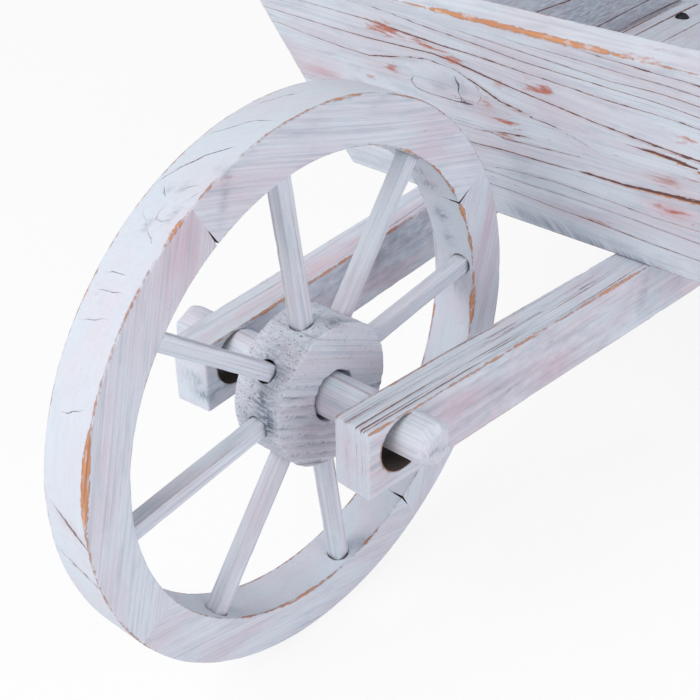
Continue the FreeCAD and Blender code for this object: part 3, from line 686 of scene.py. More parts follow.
    # Worn edges, in dashes: a red-brown line where little paint is gone, orange, then pale wood where more
    dash = add(tree, "MapRange", {0: pattern["wear"], 1: 0.36, 2: 0.68, 3: 0.3})
    width = add(tree, "Math", {0: dash, 1: given["Wear"]}, operation="MULTIPLY")
    least = add(tree, "MapRange", {0: at["rub"], 1: 0.8, 2: 1.3, 3: 0.15, 4: 0.9})
    break_up = add(tree, "MapRange", {0: pattern["dashes"], 1: 0.4, 2: 0.6, 3: least, 4: 1.0})
    width = add(tree, "Math", {0: at["rub"], 1: break_up, 2: width}, operation="MULTIPLY_ADD")
    jag = add(tree, "MapRange", {0: pattern["jag"], 1: 0.25, 2: 0.75, 3: -0.3, 4: 0.3})
    ragged = add(tree, "Math", {0: jag, 1: width, 2: jag}, operation="MULTIPLY_ADD")
    ragged = add(tree, "Math", {0: ragged, 1: at["edge"]}, operation="ADD")
    depth = add(tree, "Math", {0: width, 1: ragged}, operation="SUBTRACT")
    bared = add(tree, "MapRange", {0: pattern["patch"], 1: 0.53, 2: 0.66, 3: 0.9, 4: 0.3})
    raw = add(tree, "MapRange", {0: depth, 1: -0.4, 2: 0.25, 4: bared})
    orange = add(tree, "MapRange", {0: depth, 1: -0.05, 2: 0.5})
    pale = add(tree, "MapRange", {0: pattern["streak"], 1: 0.35, 2: 0.65, 4: orange})
    wood = add(tree, "Mix", {0: orange, 6: colour("#935A45"), 7: colour("#BA7346")}, data_type="RGBA")
    wood = add(tree, "Mix", {0: pale, 6: wood, 7: colour("#D8995F")}, data_type="RGBA")

    # All of it over each other, from the cool paint up, each by its own share
    layers = (
        (thin, given["Warm"]), (pink, colour("#CFA4AE")), (thick, colour("#B4C0CC")),
        (dark_streak, colour("#94A3B4")), (pale_streak, colour("#EDF1F6")), (cover, smooth),
        (halo, colour("#C0918C")), (smudge, colour("#8F98A6")), (score, colour("#5C4A49")),
        (dark_smudge_and_shade, colour("#3E4753")), (line, line_tint), (bare, colour("#BE7563")),
        (speck, colour("#5B6672")), (stroke, colour("#8792A2")), (raw, wood),
    )
    paint = colour("#D9E0E8")
    for share, tint in layers:
        paint = add(tree, "Mix", {0: share, 6: paint, 7: tint}, data_type="RGBA")

    # Relief in millimetres: raised fibres, and whatever is sunk into them
    fibres = add(tree, "MapRange", {0: at["coat"], 3: 0.10, 4: 0.03})
    links = {0: pattern["streak"], 1: 2.5, 2: pattern["fibre"]}
    height = add(tree, "Math", links, operation="MULTIPLY_ADD")
    height = add(tree, "Math", {0: height, 1: fibres}, operation="MULTIPLY")
    sunk = ((line, -0.35), (speck, -0.4), (raw, -0.25), (bare, -0.15), (stroke, -0.35), (smudge, -0.1),
            (score, -0.35))
    for part, share in sunk:
        height = add(tree, "Math", {0: part, 1: share, 2: height}, operation="MULTIPLY_ADD")
    gloss = add(tree, "MapRange", {0: raw, 3: 0.82, 4: 0.62})
    result = tree.nodes.new("NodeGroupOutput")
    for name, item in (("Color", paint), ("Roughness", gloss), ("Height", height)):
        tree.links.new(next(output for output in item.outputs if output.enabled), result.inputs[name])
    return tree


whitewash = whitewash_group()


def empty_material(name):
    """A material with nothing in it yet, and its node tree."""
    material = bpy.data.materials.new(name)
    material.use_nodes = True
    material.node_tree.nodes.clear()
    return material, material.node_tree


MATT_PAINT = {"IOR": 1.45, "Specular IOR Level": 0.3}
RELIEF_STRENGTH, GRIT_STRENGTH, GRIT_DEPTH, GRIT_SHEEN = 0.8, 0.3, 0.1, 0.1


def whitewashed(name, **settings):
    """One piece's whitewashed pine: matt paint, with the strength of its lines, streaks and wear."""
    material, tree = empty_material(name)
    coat = add(tree, "Group", {key.title(): value for key, value in settings.items()}, node_tree=whitewash)
    coat = coat.outputs
    bump = add(tree, "Bump", {"Strength": RELIEF_STRENGTH, "Distance": MM, "Height": coat["Height"]})
    links = {"Base Color": coat["Color"], "Roughness": coat["Roughness"], "Normal": bump, **MATT_PAINT}
    add(tree, "OutputMaterial", {"Surface": add(tree, "BsdfPrincipled", links)})
    return material


def fine_grained(name, base, tint, roughness, metallic, grit):
    """A material whose colour, sheen and relief vary with the grit of its surface."""
    material, tree = empty_material(name)
    place = add(tree, "TexCoord").outputs["Object"]
    spots = add(tree, "TexNoise", {"Vector": place, "Scale": 1 / (grit * MM), "Detail": 4.0})
    shown = add(tree, "Mix", {0: spots, 6: colour(base), 7: colour(tint)}, data_type="RGBA")
    matt = add(tree, "MapRange", {0: spots, 3: roughness - GRIT_SHEEN, 4: roughness + GRIT_SHEEN})
    bump = add(tree, "Bump", {"Strength": GRIT_STRENGTH, "Distance": GRIT_DEPTH * MM, "Height": spots})
    links = {"Base Color": shown, "Roughness": matt, "Normal": bump, "Metallic": metallic}
    add(tree, "OutputMaterial", {"Surface": add(tree, "BsdfPrincipled", links)})
    return material


# Planed tray boards: long red-brown ring lines between wide bands of thick paint
board_wood = whitewashed("whitewashed_pine_board", lines=0.95, scuffs=0.45, streaks=0.35)
# Sawn rim pieces: fine pinstripes in lilac paint
rim_wood = whitewashed(
    "whitewashed_pine_rim", lines=0.85, streaks=0.55, wear=1.0, scuffs=0.0, warm=colour("#D8D0DA")
)
# Planed spokes and whittled axle: thin streaky paint, edges still covered
bar_wood = whitewashed("whitewashed_pine_bar", lines=0.35, streaks=0.6, wear=-0.2, scuffs=0.05)
# Planed rails and legs: pinkish paint, edges rubbed to wood
rail_wood = whitewashed(
    "whitewashed_pine_rail", lines=0.85, streaks=0.5, wear=0.95, scuffs=0.05, warm=colour("#D8C8D0")
)
# Rough sawn hub: open pores that show as dark pits
hub_wood = whitewashed("whitewashed_pine_hub", lines=0.7, streaks=0.6, wear=0.3, pits=0.9, scuffs=0.1)
# Phosphated screws: dull black with a soft sheen
screw_steel = fine_grained("black_phosphated_steel", "#101114", "#26282C", 0.45, 0.6, 0.4)
# Drawn wire of the brads: bright grey, a little uneven
brad_steel = fine_grained("plain_wire_steel", "#8C8E92", "#A5A7AB", 0.4, 1.0, 0.3)
# Drilled pine that the brush didn't reach, and the open ends of rim joints: dark, torn fibres, made nearly
# black as painted shade for the hollows
bare_bore_and_shade = fine_grained("bare_pine_bore_and_painted_shade", "#2A2625", "#54473F", 0.85, 0.0, 1.2)
# Turned beech dowels: even warm wood with short flecks
dowel_wood = fine_grained("bare_beech", "#C79C6B", "#DDB88A", 0.7, 0.0, 0.8)


# Pieces

# From one like piece to the next, the seeds of its chips and of its wood go up by these
CHIP_SEED, WOOD_SEED = 71.0, 200

# What the front board shows, by pixel. Ring lines come with half their width at each pixel, and a line that
# is 0 wide all along only bends the grain round the knot.
FRONT_BOARD_LINES = (
    ((560, 45, 0.0), (611, 61, 0.35), (641, 70, 0.4), (699, 87, 0.4)),
    ((470, 28, 0.0), (520, 44, 0.2), (577, 60, 0.25), (623, 74, 0.25), (669, 87, 0.3), (699, 97, 0.3)),
    ((410, 14, 0.0), (480, 38, 0.22), (546, 60, 0.28), (608, 81, 0.25), (661, 94, 0.3), (699, 107, 0.3)),
    ((357, 2, 0.25), (382, 10, 0.25), (420, 25, 0.3), (480, 46, 0.3), (520, 61, 0.35), (562, 74, 0.3),
     (608, 88, 0.3), (669, 107, 0.3), (699, 118, 0.3)),
    ((305, 2, 0.2), (337, 11, 0.25), (368, 20, 0.4), (407, 34, 0.6), (442, 46, 0.55), (466, 53, 0.35),
     (491, 61, 0.45), (528, 74, 0.3), (559, 84, 0.35), (608, 101, 0.35), (654, 114, 0.3),
     (699, 129, 0.35)),
    ((272, 9, 0.22), (327, 26, 0.3), (364, 37, 0.4), (400, 46, 0.4), (433, 54, 0.5), (456, 63, 0.7),
     (480, 74, 0.6), (516, 90, 0.45), (559, 108, 0.5), (592, 122, 0.45), (623, 134, 0.55), (654, 146, 0.7),
     (699, 162, 0.9)),
    ((622, 143, 0.0), (632, 146.5, 0.3), (654, 153, 1.1), (677, 162, 1.7), (699, 172, 1.6)),
    ((280, 23, 0.2), (306, 34, 0.25), (344, 48, 0.32), (369, 56, 0.5), (396, 57, 0.5), (402, 57, 0.0),
     (409, 57, 0.4), (426, 59, 0.4), (442, 64.5, 0.25), (456, 70, 0.3), (468, 79, 0.5), (473, 82, 0.6),
     (500, 102, 0.75), (531, 117, 0.55), (547, 124, 0.5), (570, 135, 0.3), (605, 157, 0.0)),
    ((404, 71.5, 0.0), (411.5, 74, 0.0), (413, 80, 0.0), (417, 87, 0.0), (431, 94, 0.0), (456, 102, 0.0),
     (470, 104.5, 0.0)),
    ((470, 127, 0.35), (493, 132, 0.6), (524, 137, 0.5), (537, 141, 0.0)),
    ((490, 131, 0.3), (505, 139, 0.4), (537, 147, 0.3), (563, 153, 0.35), (600, 162, 0.0)),
    ((475, 143, 0.35), (510, 152, 0.5), (543, 162, 0.5), (568, 169, 0.3), (576, 171, 0.0), (585, 173, 0.7),
     (623, 185, 0.9), (661, 194, 1.3), (699, 203, 1.5)),
    ((488, 166, 0.2), (513, 171, 0.25), (554, 182, 0.3), (608, 201, 0.3), (654, 218, 0.3),
     (699, 232, 0.3)),
    ((496, 173, 0.2), (524, 183, 0.25), (577, 200, 0.2), (623, 216, 0.25), (699, 244, 0.25)),
    ((513, 191, 0.25), (554, 207, 0.3), (600, 224, 0.4), (654, 245, 0.3), (699, 261, 0.3)),
)
FRONT_BOARD = {
    "lines": FRONT_BOARD_LINES,
    # The knot's outline and its cracks
    "scores": (
        ((414, 74.5, 0.0), (412.5, 77.5, 0.35), (411.3, 80, 0.42), (412.5, 83, 0.5), (416, 87.5, 0.42),
         (421, 90, 0.34), (430, 93.5, 0.34), (440, 96.5, 0.38), (450, 99.5, 0.45), (460, 102.3, 0.55),
         (467, 103.8, 0.8), (471, 104.4, 0.5), (475, 105, 0.0)),
        ((453.5, 73, 0.0), (455, 77, 0.32), (456, 81, 0.48), (458.3, 84.5, 0.85), (458.8, 88, 0.65),
         (457.8, 91, 0.4), (459.5, 94.5, 0.35), (461, 98, 0.4), (464, 100.8, 0.5), (466.5, 102.5, 0.0)),
        ((472, 82, 0.0), (476, 87, 0.3), (479.5, 91, 0.4), (483, 95, 0.0)),
        ((478, 91, 0.0), (480.3, 95, 0.2), (480.6, 99, 0.28), (478, 103, 0.24), (474, 105, 0.0)),
    ),
    "sway": 0,
    "gap": 7,
    "scuff": (
        ((383, 28), (16, 4.5, 9), 1.0), ((425, 45), (12, 3, 9), 0.85), ((452, 60), (8, 3.5, 9), 1.0),
        ((392, 67), (6, 3.5, 9), 0.9), ((370, 77), (8, 2.5, 9), 0.6), ((335, 30), (7, 2, 9), 0.8),
        ((531, 86), (6, 3.5, 9), 0.95), ((547, 92), (5, 2.5, 9), 0.9), ((497, 85), (4, 3, 9), 0.9),
        ((486, 103), (5, 3.5, 9), 1.0), ((508, 122), (8, 4, 9), 0.9), ((505, 136), (12, 2, 9), 0.8),
        ((520, 112), (6, 2.5, 9), 0.7), ((687, 141), (6, 3, 9), 0.9), ((666, 182), (10, 3.5, 9), 0.7),
        ((672, 213), (11, 4, 9), 0.85), ((600, 222), (10, 2, 9), 0.75), ((640, 62), (12, 2, 9), 0.5),
    ),
    "blush": (((322, 72), (12, 4, 9), 1.2), ((668, 182), (12, 4, 9), 1.0), ((672, 212), (14, 5, 9), 1.2),
              ((575, 215), (30, 4, 9), 0.7), ((480, 110), (14, 8, 9), 0.5), ((380, 70), (14, 5, 9), 0.7)),
    "rub": (((455, 10), (18, 4, 6), 1.6), ((500, 23), (18, 4, 6), 1.3), ((545, 36), (18, 4, 6), 1.2),
            ((590, 49), (18, 4, 6), 1.1), ((650, 66), (25, 4, 6), 0.4), ((500, 7), (18, 4, 3), 0.5),
            ((560, 21), (18, 4, 3), 0.5), ((605, 32), (14, 4, 3), 0.5), ((530, 218), (20, 4, 6), 0.2),
            ((590, 243), (20, 4, 6), 0.2), ((645, 260), (20, 4, 6), 0.3), ((690, 276), (20, 4, 6), 0.5)),
    "tear": (((520, 212), (9, 4, 6), 0.5), ((550, 225), (18, 4, 6), 0.6), ((590, 243), (20, 3.5, 6), 0.5),
             ((640, 262), (25, 3, 6), 0.5)),
    # Painted shade low on the board, where the wheel's shadow falls, then grey round the knot and beside
    # its crack
    "smudge": (((536, 176), (14, 7, 9), 0.12), ((520, 172), (8, 6, 9), 0.08),
               ((438, 86), (5, 4, 9), 0.25), ((456, 82), (1.6, 2.4, 9), 0.5),
               ((462, 90), (2, 3.5, 9), 0.4), ((466, 103), (2.5, 1.2, 9), 0.9)),
}
# Ring lines of the other boards: as long and as far apart as the front board's
LONG_RINGS = {"gap": 9, "width": 0.75, "fade": 90}
# Painted shade on the inside of the far side board, by pixel
FAR_BOARD_SHADE = (((600, 10), (150, 60, 20), 0.45),)


def tray_boards():
    """The four leaning walls and the three floor boards."""
    for step, node in enumerate(("front_board", "rear_board")):
        shape = bar(node, ACROSS, steps=(1.7, 1.3, 3), radius=1.3, seed=CHIP_SEED * step)
        picked = FRONT_BOARD if node == "front_board" else {"tilt": 12, **LONG_RINGS}
        add_piece(node, shape, board_wood, "frame", seed=300.0 + WOOD_SEED * step, **picked)
    for step, hand in enumerate(("left", "right")):
        node = f"side_board_{hand}"
        shape = bar(node, REARWARD, radius=1.3, seed=400 + CHIP_SEED * step)
        picked = {"tilt": 15, "smudge": FAR_BOARD_SHADE if hand == "left" else (), **LONG_RINGS}
        add_piece(node, shape, board_wood, "frame", seed=900.0 + WOOD_SEED * step, **picked)
    for step, hand in enumerate(("left", "middle", "right")):
        node = f"floor_board_{hand}"
        shape = bar(node, REARWARD, UP, steps=(5, 4, 3), radius=1.0, seed=800 + CHIP_SEED * step)
        add_piece(node, shape, board_wood, "frame", seed=1500.0 + WOOD_SEED * step, tilt=20, **LONG_RINGS)


# The grip at a rail's rear: its length, the taper before it, what comes off above and below, its roundness
GRIP_LENGTH, GRIP_TAPER, GRIP_TOP_DROP, GRIP_BOTTOM_RISE, GRIP_ROUND_SHARE = 125, 30, 2, 8, 0.75


def rail_bend(points, half):
    """The rear of a rail: a taper, then a grip whose long edges are rounded off."""
    start = half[0] - GRIP_LENGTH - GRIP_TAPER
    slim = np.clip((points[:, 0] - start) / GRIP_TAPER, 0, 1)
    top, bottom = half[1] - GRIP_TOP_DROP * slim, -half[1] + GRIP_BOTTOM_RISE * slim
    high = points[:, 1] / half[1]
    wide = points[:, 2] / half[2]
    round_off = GRIP_ROUND_SHARE * slim
    new_high = high * np.sqrt(1 - round_off * wide**2 / 2)
    new_wide = wide * np.sqrt(1 - round_off * high**2 / 2)
    level = (top + bottom) / 2 + new_high * (top - bottom) / 2
    return np.stack([points[:, 0], level, new_wide * half[2]], -1)


AXLE_HOLE_RADIUS, AXLE_HOLE_DROP, AXLE_HOLE_LENGTH = 13.2, 2.3, 40
# What the rails show, by pixel: short ring lines, rubbed edges, pink where the paint is thin, grey smudges,
# and painted shade
RAILS = {
    "rail_left": {
        "gap": 4, "width": 0.35,
        # Painted shade over the far rail's face under the tray, then grey strokes on its rough end
        "smudge": (((400, 243), (70, 14, 4), 0.35), ((330, 285), (40, 12, 4), 0.2),
                   ((194, 378), (6, 3, 6), 0.6), ((203, 395), (6, 3, 6), 0.6),
                   ((226, 385), (12, 4, 5), 0.45)),
        "rub": (((250, 319), (25, 4, 4), 0.2), ((292, 292), (22, 4, 4), 0.4),
                ((331, 267), (22, 4, 4), 0.4), ((366, 244), (20, 4, 4), 0.3),
                ((402, 221), (25, 4, 4), 0.3)),
        "blush": (((340, 255), (40, 6, 8), 0.35), ((240, 318), (20, 6, 8), 0.4),
                  ((390, 235), (30, 6, 8), 0.2)),
    },
    "rail_right": {
        "gap": 2.8, "width": 0.42,
        "cross": ((361, 424, 0.8, 62), (366, 427, 0.7, 55), (352, 418, 0.5, 40), (445, 366, 0.4, 35),
                  (489, 337, 0.4, 50), (506, 343, 0.35, 45), (560, 301, 0.4, 60), (580, 293, 0.35, 50)),
        "rub": (((419, 402), (25, 4, 4), 0.15), ((468, 372), (25, 4, 4), 0.25),
                ((513, 345), (25, 4, 4), 0.3), ((555, 319), (25, 4, 4), 0.3),
                ((595, 295), (25, 4, 4), 0.25), ((632, 273), (25, 4, 4), 0.2),
                ((386, 388), (30, 4, 4), 0.9), ((440, 356), (25, 4, 4), 0.6),
                ((524, 308), (35, 4, 4), 0.2)),
        "blush": (((462, 412), (22, 9, 8), 0.9), ((385, 478), (10, 8, 8), 1.0),
                  ((545, 360), (30, 8, 8), 0.25), ((600, 325), (30, 8, 8), 0.25)),
        "smudge": (((645, 290), (4, 9, 8), 0.35), ((520, 372), (120, 25, 5), 0.18),
                   ((497, 388), (8, 0.7, 8), 0.8), ((512, 388), (4, 0.6, 8), 0.6)),
    },
}


def rails():
    """The two long bars with their loose axle holes."""
    for step, hand in enumerate(("left", "right")):
        node = f"rail_{hand}"
        side = widest_normal(node)
        along = np.cross(side, UP)
        along *= np.sign(along[0])
        normal = np.cross(along, UP)
        shape = bar(
            node, along, normal, steps=(4, 1.6, 0.9), radius=1.3, seed=1200 + CHIP_SEED * step,
            bend=rail_bend, square=True,
        )
        middle = (shape.centre - AXLE) @ normal
        hole = AXLE - AXLE_HOLE_DROP * UP
        start = hole + (middle - AXLE_HOLE_LENGTH / 2) * normal
        plain_gaps = shape.gaps

        def gaps(world, plain_gaps=plain_gaps, hole=hole, normal=normal):
            off = world - hole
            off = off - np.outer(off @ normal, normal)
            faces = plain_gaps(world)
            rim = np.abs(np.linalg.norm(off, axis=1) - AXLE_HOLE_RADIUS) + 3 * np.abs(faces[:, 4:]).min(1)
            return np.concatenate([faces[:, 2:], rim[:, None]], axis=1)

        shape.gaps = gaps
        holes = [(start, normal, AXLE_HOLE_RADIUS, AXLE_HOLE_LENGTH)]
        wood = {"seed": 2200.0 + WOOD_SEED * step, "tilt": 86, "quiet": 0.97, **RAILS[node]}
        add_piece(node, shape, rail_wood, "frame", holes, **wood)


LEG_TOE = 5


def leg_bend(points, half):
    """The foot of a leg, bevelled front and back."""
    rise = np.clip((points[:, 0] + half[0]) / LEG_TOE, 0, 1)
    slim = 1 - (1 - rise) * LEG_TOE / half[1]
    return points * np.stack([np.ones_like(slim), slim, np.ones_like(slim)], -1)


def stand():
    """Legs, stretcher and crossbars. A leg is as wide as its solid's box, so its toe doesn't shorten it."""
    for step, hand in enumerate(("left", "right")):
        node = f"leg_{hand}"
        shape = bar(node, UP, seed=1500 + CHIP_SEED * step, bend=leg_bend, square=True)
        add_piece(node, shape, rail_wood, "frame", seed=3000.0 + WOOD_SEED * step, tilt=30)
    for step, node in enumerate(("leg_stretcher", "front_crossbar", "rear_crossbar")):
        shape = bar(node, ACROSS, REARWARD, seed=1700 + CHIP_SEED * step)
        add_piece(node, shape, rail_wood, "frame", seed=3600.0 + WOOD_SEED * step, tilt=30)


# Spoke holes: their radius, their depth in the rim and in the hub, and how far the drill starts outside
SPOKE_HOLE_RADIUS, RIM_HOLE_DEPTH, HUB_HOLE_DEPTH, DRILL_OVERRUN = 5.2, 9.0, 11.0, 5
SPOKES = [node for node in nodes if node.startswith("spoke_")]
FELLOES = [node for node in nodes if node.startswith("felloe_") and node != "felloe_dowels"]
# What each rim piece shows, by pixel: lines and scores on the tread, rubbed edges, pink and grey places
RIM = {
    "felloe_1": {
        "tilt": 50, "gap": 14, "width": 0.2,
        "cross": ((280, 97, 0.35, 14),),
        "scores": (
            ((203, 136, 0.0), (212, 132, 0.24), (222, 129, 0.26), (235, 124.5, 0.3), (246, 121, 0.3),
             (256, 119.3, 0.3), (266, 119, 0.28), (279, 120.5, 0.0)),
            ((154, 184, 0.0), (160, 178.5, 0.24), (170, 172, 0.3), (182, 165.5, 0.32), (194, 159, 0.45),
             (203, 155, 0.34), (212, 152, 0.45), (222, 149.3, 0.36), (231, 146.5, 0.45), (236, 145, 0.0)),
            ((174, 192, 0.0), (180, 189, 0.26), (187, 185.5, 0.3), (194, 184.3, 0.24), (201, 184, 0.0)),
            ((163.3, 183, 0.0), (163.5, 189, 0.28), (163.7, 193.5, 0.4), (163.8, 196.5, 0.0)),
        ),
        "rub": (((374, 94), (22, 5, 5), 0.35), ((335, 101), (20, 5, 5), 0.5),
                ((300, 115), (12, 5, 5), 0.4), ((410, 97), (14, 5, 5), 0.2),
                ((380, 146), (14, 5, 5), 0.6), ((410, 152), (10, 5, 5), 0.9),
                ((436, 170), (9, 5, 5), 1.2), ((452, 189), (8, 5, 5), 1.3)),
        "blush": (((250, 200), (20, 10, 9), 0.5), ((430, 150), (20, 12, 9), 0.3)),
        "smudge": (((225, 192), (2, 12, 6), 0.35), ((428, 186), (5, 4, 5), 0.6),
                   ((418, 172), (4, 4, 4), 0.5), ((168, 186), (1, 6, 1.5), 0.7),
                   ((182, 188), (5, 1.5, 1.5), 0.6)),
    },
    "felloe_2": {
        "tilt": -10, "gap": 14, "width": 0,
        "cross": ((67, 528, 0.45, 9), (77, 570, 0.4, 9)),
        "scores": (
            ((166, 205, 0.0), (160, 208.5, 0.18), (156, 213, 0.2), (157, 217.5, 0.26), (161, 219.5, 0.22),
             (167, 219.5, 0.2), (173, 217, 0.0)),
            ((151.5, 243, 0.0), (150, 240.5, 0.36), (148.5, 235, 0.22), (146, 228, 0.17),
             (144, 220, 0.13), (143, 212, 0.13), (143, 205, 0.0)),
            ((103, 270, 0.0), (112, 271.5, 0.34), (120, 273.5, 0.34), (126, 275, 0.0)),
            ((123, 294, 0.0), (115, 292, 0.32), (105, 289.5, 0.26), (93, 288, 0.0)),
            ((76, 319, 0.0), (88, 319.5, 0.24), (98, 319.5, 0.28), (109, 319, 0.0)),
            ((59, 413, 0.0), (66, 412.5, 0.34), (76, 411, 0.3), (85, 411.5, 0.0)),
        ),
        "rub": (((176, 226), (10, 5, 5), 0.7), ((104, 378), (10, 5, 5), 0.3), ((92, 428), (12, 5, 5), 0.4),
                ((86, 460), (12, 5, 5), 1.1), ((86, 485), (12, 5, 5), 1.3), ((87, 512), (12, 5, 5), 1.2),
                ((98, 580), (10, 5, 5), 0.5), ((110, 608), (12, 5, 5), 0.5), ((128, 632), (12, 5, 5), 0.4),
                ((52, 470), (22, 5, 5), 0.6)),
        "blush": (((200, 242), (16, 14, 4), 0.7), ((160, 320), (30, 12, 4), 0.4)),
        "smudge": (((172, 213), (3, 3, 1.2), 0.6), ((149, 222), (6, 2, 1.2), 0.6)),
    },
    "felloe_3": {
        "tilt": -10, "gap": 14, "width": 0,
        "rub": (((178, 600), (12, 5, 5), 0.4), ((210, 615), (16, 5, 5), 0.5),
                ((249, 616), (16, 5, 5), 0.6), ((290, 602), (16, 5, 5), 0.6),
                ((331, 577), (16, 5, 5), 0.7), ((367, 542), (14, 5, 5), 0.9)),
        "smudge": (((344, 552), (4, 4, 4), 0.9), ((362, 540), (4, 3, 4), 0.4),
                   ((225, 604), (4, 3, 4), 0.5)),
    },
    "felloe_4": {
        "tilt": -10, "gap": 14, "width": 0,
        "rub": (((463, 215), (8, 5, 5), 1.4), ((470, 244), (9, 5, 5), 1.2), ((473, 268), (9, 5, 5), 0.8),
                ((474, 297), (10, 5, 5), 1.3), ((472, 318), (12, 5, 5), 1.0)),
        "blush": (((488, 250), (30, 10, 9), 0.6),),
        "smudge": (((458, 262), (4, 4, 4), 0.9), ((440, 215), (6, 4, 4), 0.6),
                   ((448, 240), (5, 4, 3), 0.5), ((456, 285), (6, 4, 3), 0.4)),
    },
}


def spoke_line(node):
    """Where a spoke starts and which way it points."""
    points = solid_points(node)
    middle = (points.min(0) + points.max(0)) / 2
    way = (middle - AXLE) * (1, 0, 1)
    way /= np.linalg.norm(way)
    return AXLE + (middle - AXLE) * ACROSS, way


HUB_BEVEL, HUB_BORE_RADIUS = 1.0, 11.5
# Its mesh on the end faces, on the barrel and in the bore
HUB_FACE_STEP, HUB_BARREL_STEP, HUB_BORE_STEP = 1.0, 1.5, 2.0
# The torn barrel: how deep, and the sizes of its coarse and fine lumps
HUB_ROUGHNESS, HUB_LUMP_SIZE, HUB_FINE_SIZE = 0.8, (5, 2.5, 2.5), (1.8, 1.8, 1.8)
# The ragged bore: how deep, how far from its edge, and the size of its tears
HUB_BORE_TEAR, HUB_TEAR_REACH, HUB_TEAR_SIZE = 1.1, 1.5, (4, 9, 4)
# Ridges of the saw on the near face: their gap and depth, the level they reach up to, and how dark the
# painted shade in their hollows is
HUB_RIDGE_GAP, HUB_RIDGE_DEPTH, HUB_RIDGE_TOP, HUB_RIDGE_SHADE = 4.4, 0.8, 9.0, 0.8
# The height in which they fade out at that level, and the size of their waves
HUB_RIDGE_FADE, HUB_RIDGE_WAVE = 1.5, (20, 20, 20)
HUB_FACE_COAT = 0.5
HUB_GRAIN = np.array([math.cos(math.radians(26)), 0, -math.sin(math.radians(26))])
# Blue-grey places on the rough barrel, by pixel
HUB_SMUDGES = (((262, 402), (14, 9, 6), 0.9), ((268, 427), (5, 5, 4), 1.4), ((272, 352), (8, 5, 5), 0.4),
               ((252, 420), (6, 6, 5), 0.6), ((300, 330), (9, 4, 5), 0.5), ((278, 372), (6, 4, 5), 0.6),
               ((335, 322), (5, 2, 4), 0.7))
# Pink places on its near face, by pixel
HUB_BLUSHES = (((320, 435), (25, 14, 5), 0.7), ((300, 400), (12, 10, 5), 0.5),
               ((350, 345), (20, 14, 5), 0.3))


def saw_ridges(own):
    """How deep the saw went on the hub's near face, from 0 to 1, below the part that was smoothed."""
    level = own @ np.cross(HUB_GRAIN, ACROSS)
    ridge = (level + wander(own, HUB_RIDGE_WAVE)) / HUB_RIDGE_GAP % 1
    return np.clip((HUB_RIDGE_TOP - level) / HUB_RIDGE_FADE, 0, 1) * ridge


def hub():
    """The rough sawn hub: ridges from the saw across its lower face, a ragged bore and torn edges."""
    low, high = (np.array(corner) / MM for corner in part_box("hub"))
    radius, near_face, far_face = (high[0] - low[0]) / 2, low[1], high[1]
    corner = edge_profile(radius, near_face, HUB_BEVEL, (0, 30, 60, 90))
    faces = np.arange(HUB_BORE_RADIUS, radius - HUB_BEVEL, HUB_FACE_STEP)
    half = np.concatenate([np.stack([faces, near_face + 0 * faces], -1), corner])
    mirrored = half[::-1] * (1, -1) + (0, near_face + far_face)
    places = np.arange(near_face + 2 * HUB_BEVEL, far_face - 2 * HUB_BEVEL, HUB_BARREL_STEP)
    barrel = side_profile(radius, places)
    bore = side_profile(HUB_BORE_RADIUS, np.arange(far_face - HUB_BORE_STEP, near_face, -HUB_BORE_STEP))
    profile = np.concatenate([half, barrel, mirrored, bore, half[:1]])
    points, quads = turned(profile)
    reach = np.hypot(points[:, 0], points[:, 2])
    out = points * (1, 0, 1) / reach[:, None]
    torn = wander(points, HUB_LUMP_SIZE) + 0.6 * wander(points, HUB_FINE_SIZE) - 1.2
    outer = np.clip((reach - HUB_BORE_RADIUS) / (radius - HUB_BORE_RADIUS), 0, 1) ** 4
    points += out * (HUB_ROUGHNESS * outer * torn / 2)[:, None]
    ragged = np.exp(-(reach - HUB_BORE_RADIUS) / HUB_TEAR_REACH) * (wander(points, HUB_TEAR_SIZE) + 0.4)
    points += out * (HUB_BORE_TEAR * np.clip(ragged, 0, 1))[:, None]
    on_near = np.clip(1 - (points[:, 1] - near_face) / HUB_BEVEL, 0, 1)
    points[:, 1] += on_near * HUB_RIDGE_DEPTH * saw_ridges(points * (1, 0, 1))
    centre = AXLE * (1, 0, 1)

    def gaps(world):
        own = world - centre
        reach = np.hypot(own[:, 0], own[:, 2])
        ends = (own[:, 1] - near_face, far_face - own[:, 1])
        return np.stack([radius - reach, reach - HUB_BORE_RADIUS, *ends], -1)

    def coat(world, out):
        return HUB_FACE_COAT * (out @ ACROSS) ** 2

    middle = centre + ACROSS * (near_face + far_face) / 2
    shape = Shape(points + centre, quads, directions(HUB_GRAIN, ACROSS), middle, gaps)
    shape.coat = coat
    holes = []
    for spoke in SPOKES:
        start, way = spoke_line(spoke)
        bottom = start + (radius - HUB_HOLE_DEPTH) * way
        holes.append((bottom, way, SPOKE_HOLE_RADIUS, HUB_HOLE_DEPTH + DRILL_OVERRUN))
    piece = add_piece(
        "hub", shape, hub_wood, "wheel", holes, seed=8000.0, sway=1, gap=HUB_RIDGE_GAP, width=0.5,
        quiet=0.5, smudge=HUB_SMUDGES, blush=HUB_BLUSHES,
    )
    # Painted shade in the ridges' hollows, added to the smudges
    world, out = mesh_points(piece)
    shade = np.empty(len(world), np.float32)
    layer = piece.data.attributes["smudge"].data
    layer.foreach_get("value", shade)
    on_near = np.clip(-out @ ACROSS, 0, 1) ** 2
    shade += HUB_RIDGE_SHADE * on_near * saw_ridges((world - centre) * (1, 0, 1)) ** 3
    layer.foreach_set("value", shade)


AXLE_BEVEL, WHITTLED_LENGTH, AXLE_SHAVING, SHAVING_SIZE = 2.5, 10, 0.35, (5, 30, 5)
# Its mesh on the end faces, along the whittled ends and between them, and how many points go round it
AXLE_END_STEP, AXLE_TIP_STEP, AXLE_SHAFT_STEP, AXLE_AROUND = 1.5, 0.8, 3.0, 72
